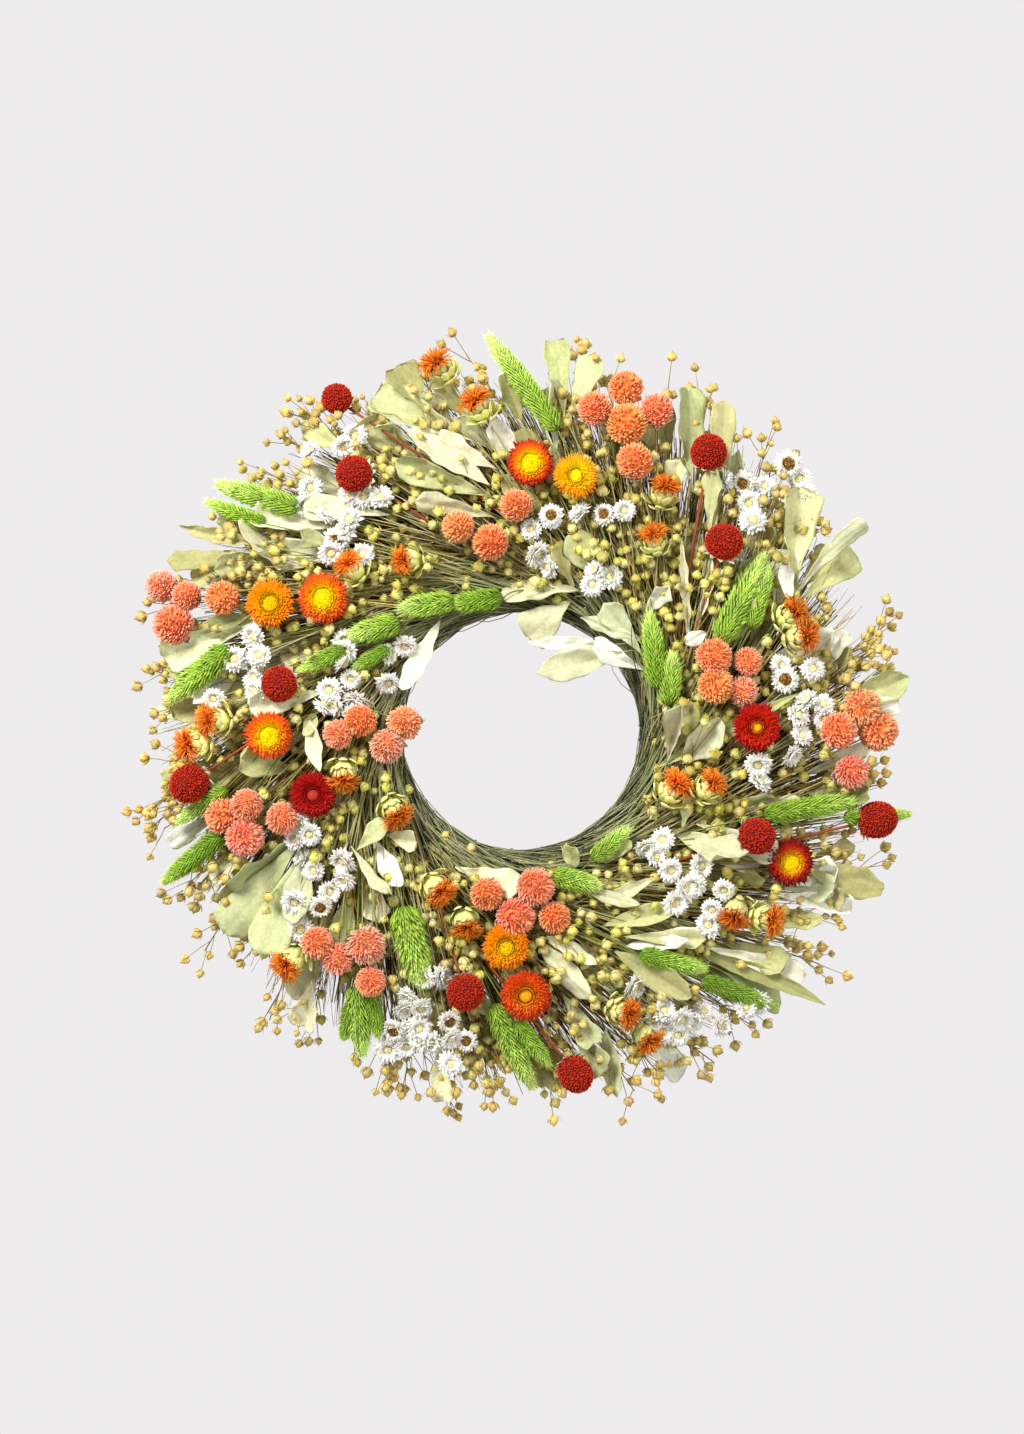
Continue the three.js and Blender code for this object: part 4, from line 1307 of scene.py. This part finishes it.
def make_wire_frame():
    """Two smooth rails and ten flat straps with a small weld bead at each crossing."""
    rails = [torus(radius, RAIL_WIRE, polar(0, 0, 0.0)) for radius in (INNER_RAIL, OUTER_RAIL)]
    width, front, bead_depth = 4.0, 1.0, 1.2
    strap = rounded_bar(RAIL_GAP + 4 * RAIL_WIRE, width, DOOR_PLANE - front)
    bead = ball(2.0, 2.6, 10, 5)
    straps, beads = [], []
    for bearing in 90 + BUNDLE_SPAN * np.arange(BUNDLES):
        axes = axes_from(-FORWARD, outward(bearing))[None]
        straps.append(stamp(strap, axes, polar(bearing, CORE_RADIUS, (DOOR_PLANE + front) / 2)))
        for radius in (INNER_RAIL, OUTER_RAIL):
            beads.append(stamp(bead, axes, polar(bearing, radius, bead_depth)))
    add_piece("ring_frame", join(rails + straps + beads), GREEN_WIRE,
              ["wire_frame"])


def rounded_bar(length, width, thick):
    """A flat bar along +Y with rounded edges, +Z through its thickness."""
    corner = min(width, thick) * 0.2
    outline = []
    for sx, sz, start in [(1, 1, 0), (-1, 1, 90), (-1, -1, 180), (1, -1, 270)]:
        for angle in np.radians(start + np.array([0, 30, 60, 90])):
            outline.append((sx * (width / 2 - corner) + corner * np.cos(angle),
                            sz * (thick / 2 - corner) + corner * np.sin(angle)))
    outline = np.array(outline)
    ends = [-length / 2, -length / 2 + corner, length / 2 - corner, length / 2]
    shrink = [1 - corner / width, 1, 1, 1 - corner / width]
    rings = [np.insert(outline * s, 1, y, axis=1) for y, s in zip(ends, shrink)]
    points = np.concatenate(rings + [[[0, ends[0], 0], [0, ends[-1], 0]]])
    quads, tris = skin_faces(len(rings), len(outline))
    return Shape(points, quads[:, ::-1], tris[:, [1, 0, 2]])


def make_hanging_loop():
    """A bent wire loop whose two ends are closed into eyes round the outer rail."""
    wire = 0.7
    eye = (loop_high[1] - loop_low[1]) / 2 - wire
    rail = loop_low[2] + eye + wire
    spread = (loop_high[0] - loop_low[0]) / 2 - wire
    foot = rail + eye
    top = loop_high[2] - wire
    leg, shoulder, crown = 12, 7, 1.6
    knots = [(1, foot), (1, foot + leg), (0.86, top - shoulder), (0.5, top - crown), (0, top)]
    points = [(-spread * x, 0.0, z) for x, z in knots]
    points += [(spread * x, 0.0, z) for x, z in knots[-2::-1]]
    arch = smooth_path(np.array(points), 60)
    eyes = [torus(eye, wire, np.array([x, 0, rail]), True, 40, 10) for x in (-spread, spread)]
    loop = join([tubes(arch[None], wire, 10)] + eyes)
    add_piece("wire_loop", loop, BRIGHT_WIRE, ["hanging_loop"], "loop")


def smooth_path(knots, count):
    """A Catmull-Rom curve through knots."""
    padded = np.concatenate([2 * knots[:1] - knots[1:2], knots, 2 * knots[-1:] - knots[-2:-1]])
    where = np.linspace(0, len(knots) - 1 - 1e-6, count)
    cell = where.astype(int)
    t = (where - cell)[:, None]
    a, b, c, d = (padded[cell + k] for k in range(4))
    return 0.5 * (2 * b + (c - a) * t + (2 * a - 5 * b + 4 * c - d) * t ** 2
                  + (3 * b - a - 3 * c + d) * t ** 3)


# ---- Studio -------------------------------------------------------------------------

def make_camera():
    """A long lens straight in front; the picture is 965 mm high at the flowers."""
    height = 0.965
    distance = 2.28
    flowers = -0.06
    sensor = 36
    aside, above = -0.006, 0.0094       # of the ring's centre
    data = bpy.data.cameras.new("camera")
    data.sensor_fit = "VERTICAL"
    data.sensor_height = sensor
    data.lens = sensor * distance / height
    camera = bpy.data.objects.new("camera", data)
    camera.location = (aside, flowers - distance, RING_CENTRE[2] * MM + above)
    camera.rotation_euler = (math.pi / 2, 0, 0)
    bpy.context.scene.collection.objects.link(camera)
    bpy.context.scene.camera = camera


def add_area(name, place, target, size, power):
    """A round lamp that shines at a target."""
    data = bpy.data.lights.new(name, "AREA")
    data.shape = "DISK"
    data.size = size
    data.energy = power
    lamp = bpy.data.objects.new(name, data)
    lamp.location = place
    axes = axes_from(-unit(target - np.array(place)), UP)
    lamp.matrix_world = Matrix([[*axes[i], place[i]] for i in range(3)] + [[0, 0, 0, 1]])
    bpy.context.scene.collection.objects.link(lamp)


def make_lights():
    """Four large soft lamps, and a pale backdrop that gives a little light itself."""
    middle = RING_CENTRE * MM
    add_area("key", (-1.3, -2.0, middle[2] + 1.5), middle, 1.1, 96)
    add_area("fill", (1.8, -1.8, middle[2] + 0.3), middle, 1.6, 24)
    add_area("back", (1.2, 2.2, middle[2] + 1.1), middle, 1.6, 70)
    add_area("back_fill", (-2.0, 1.4, middle[2] + 0.4), middle, 1.6, 40)
    world = bpy.data.worlds.new("studio")
    shading = Shading(world)
    ambient = shading.tree.nodes["Background"]
    shading.feed(ambient, {"Color": (1, 1, 1, 1), "Strength": 0.38})
    backdrop = shading.add("ShaderNodeBackground", "Background",
                           {"Color": (*linear("EEECED"), 1)})
    seen = shading.add("ShaderNodeLightPath", "Is Camera Ray")
    mixed = shading.add("ShaderNodeMixShader", "Shader",
                        {"Fac": seen, 1: ambient.outputs["Background"], 2: backdrop})
    shading.feed(shading.tree.nodes["World Output"], {"Surface": mixed})
    bpy.context.scene.world = world
    bpy.context.scene.view_settings.view_transform = "Standard"


def make_floor():
    """A pale round floor below the wreath that fades out towards its edge."""
    radius, drop = 0.6, 0.66
    bpy.ops.mesh.primitive_circle_add(vertices=64, radius=radius, fill_type="NGON")
    floor = bpy.context.object
    floor.name = "floor"
    floor.location = (0, 0, RING_CENTRE[2] * MM - drop)
    material = bpy.data.materials.new("pale_floor")
    shading = Shading(material)
    where = shading.add("ShaderNodeTexCoord", "Object")
    far = shading.add("ShaderNodeVectorMath", "Value", {0: where}, operation="LENGTH")
    fade = shading.span(far, 1, 0, radius * 0.35, radius * 0.98,
                        interpolation_type="SMOOTHSTEP")
    shading.feed(shading.tree.nodes["Principled BSDF"],
                 {"Base Color": (*linear("B4B2B3"), 1), "Roughness": 0.9, "Alpha": fade})
    floor.data.materials.append(material)


for make in (make_camera, make_lights, make_floor, make_wire_frame, make_hanging_loop,
             make_bound_stems, make_binding_wire, make_strawflowers, make_drumsticks,
             make_globes, make_everlastings, make_safflowers, make_spikes, make_leaves,
             make_fine_stems, make_flax):
    make()
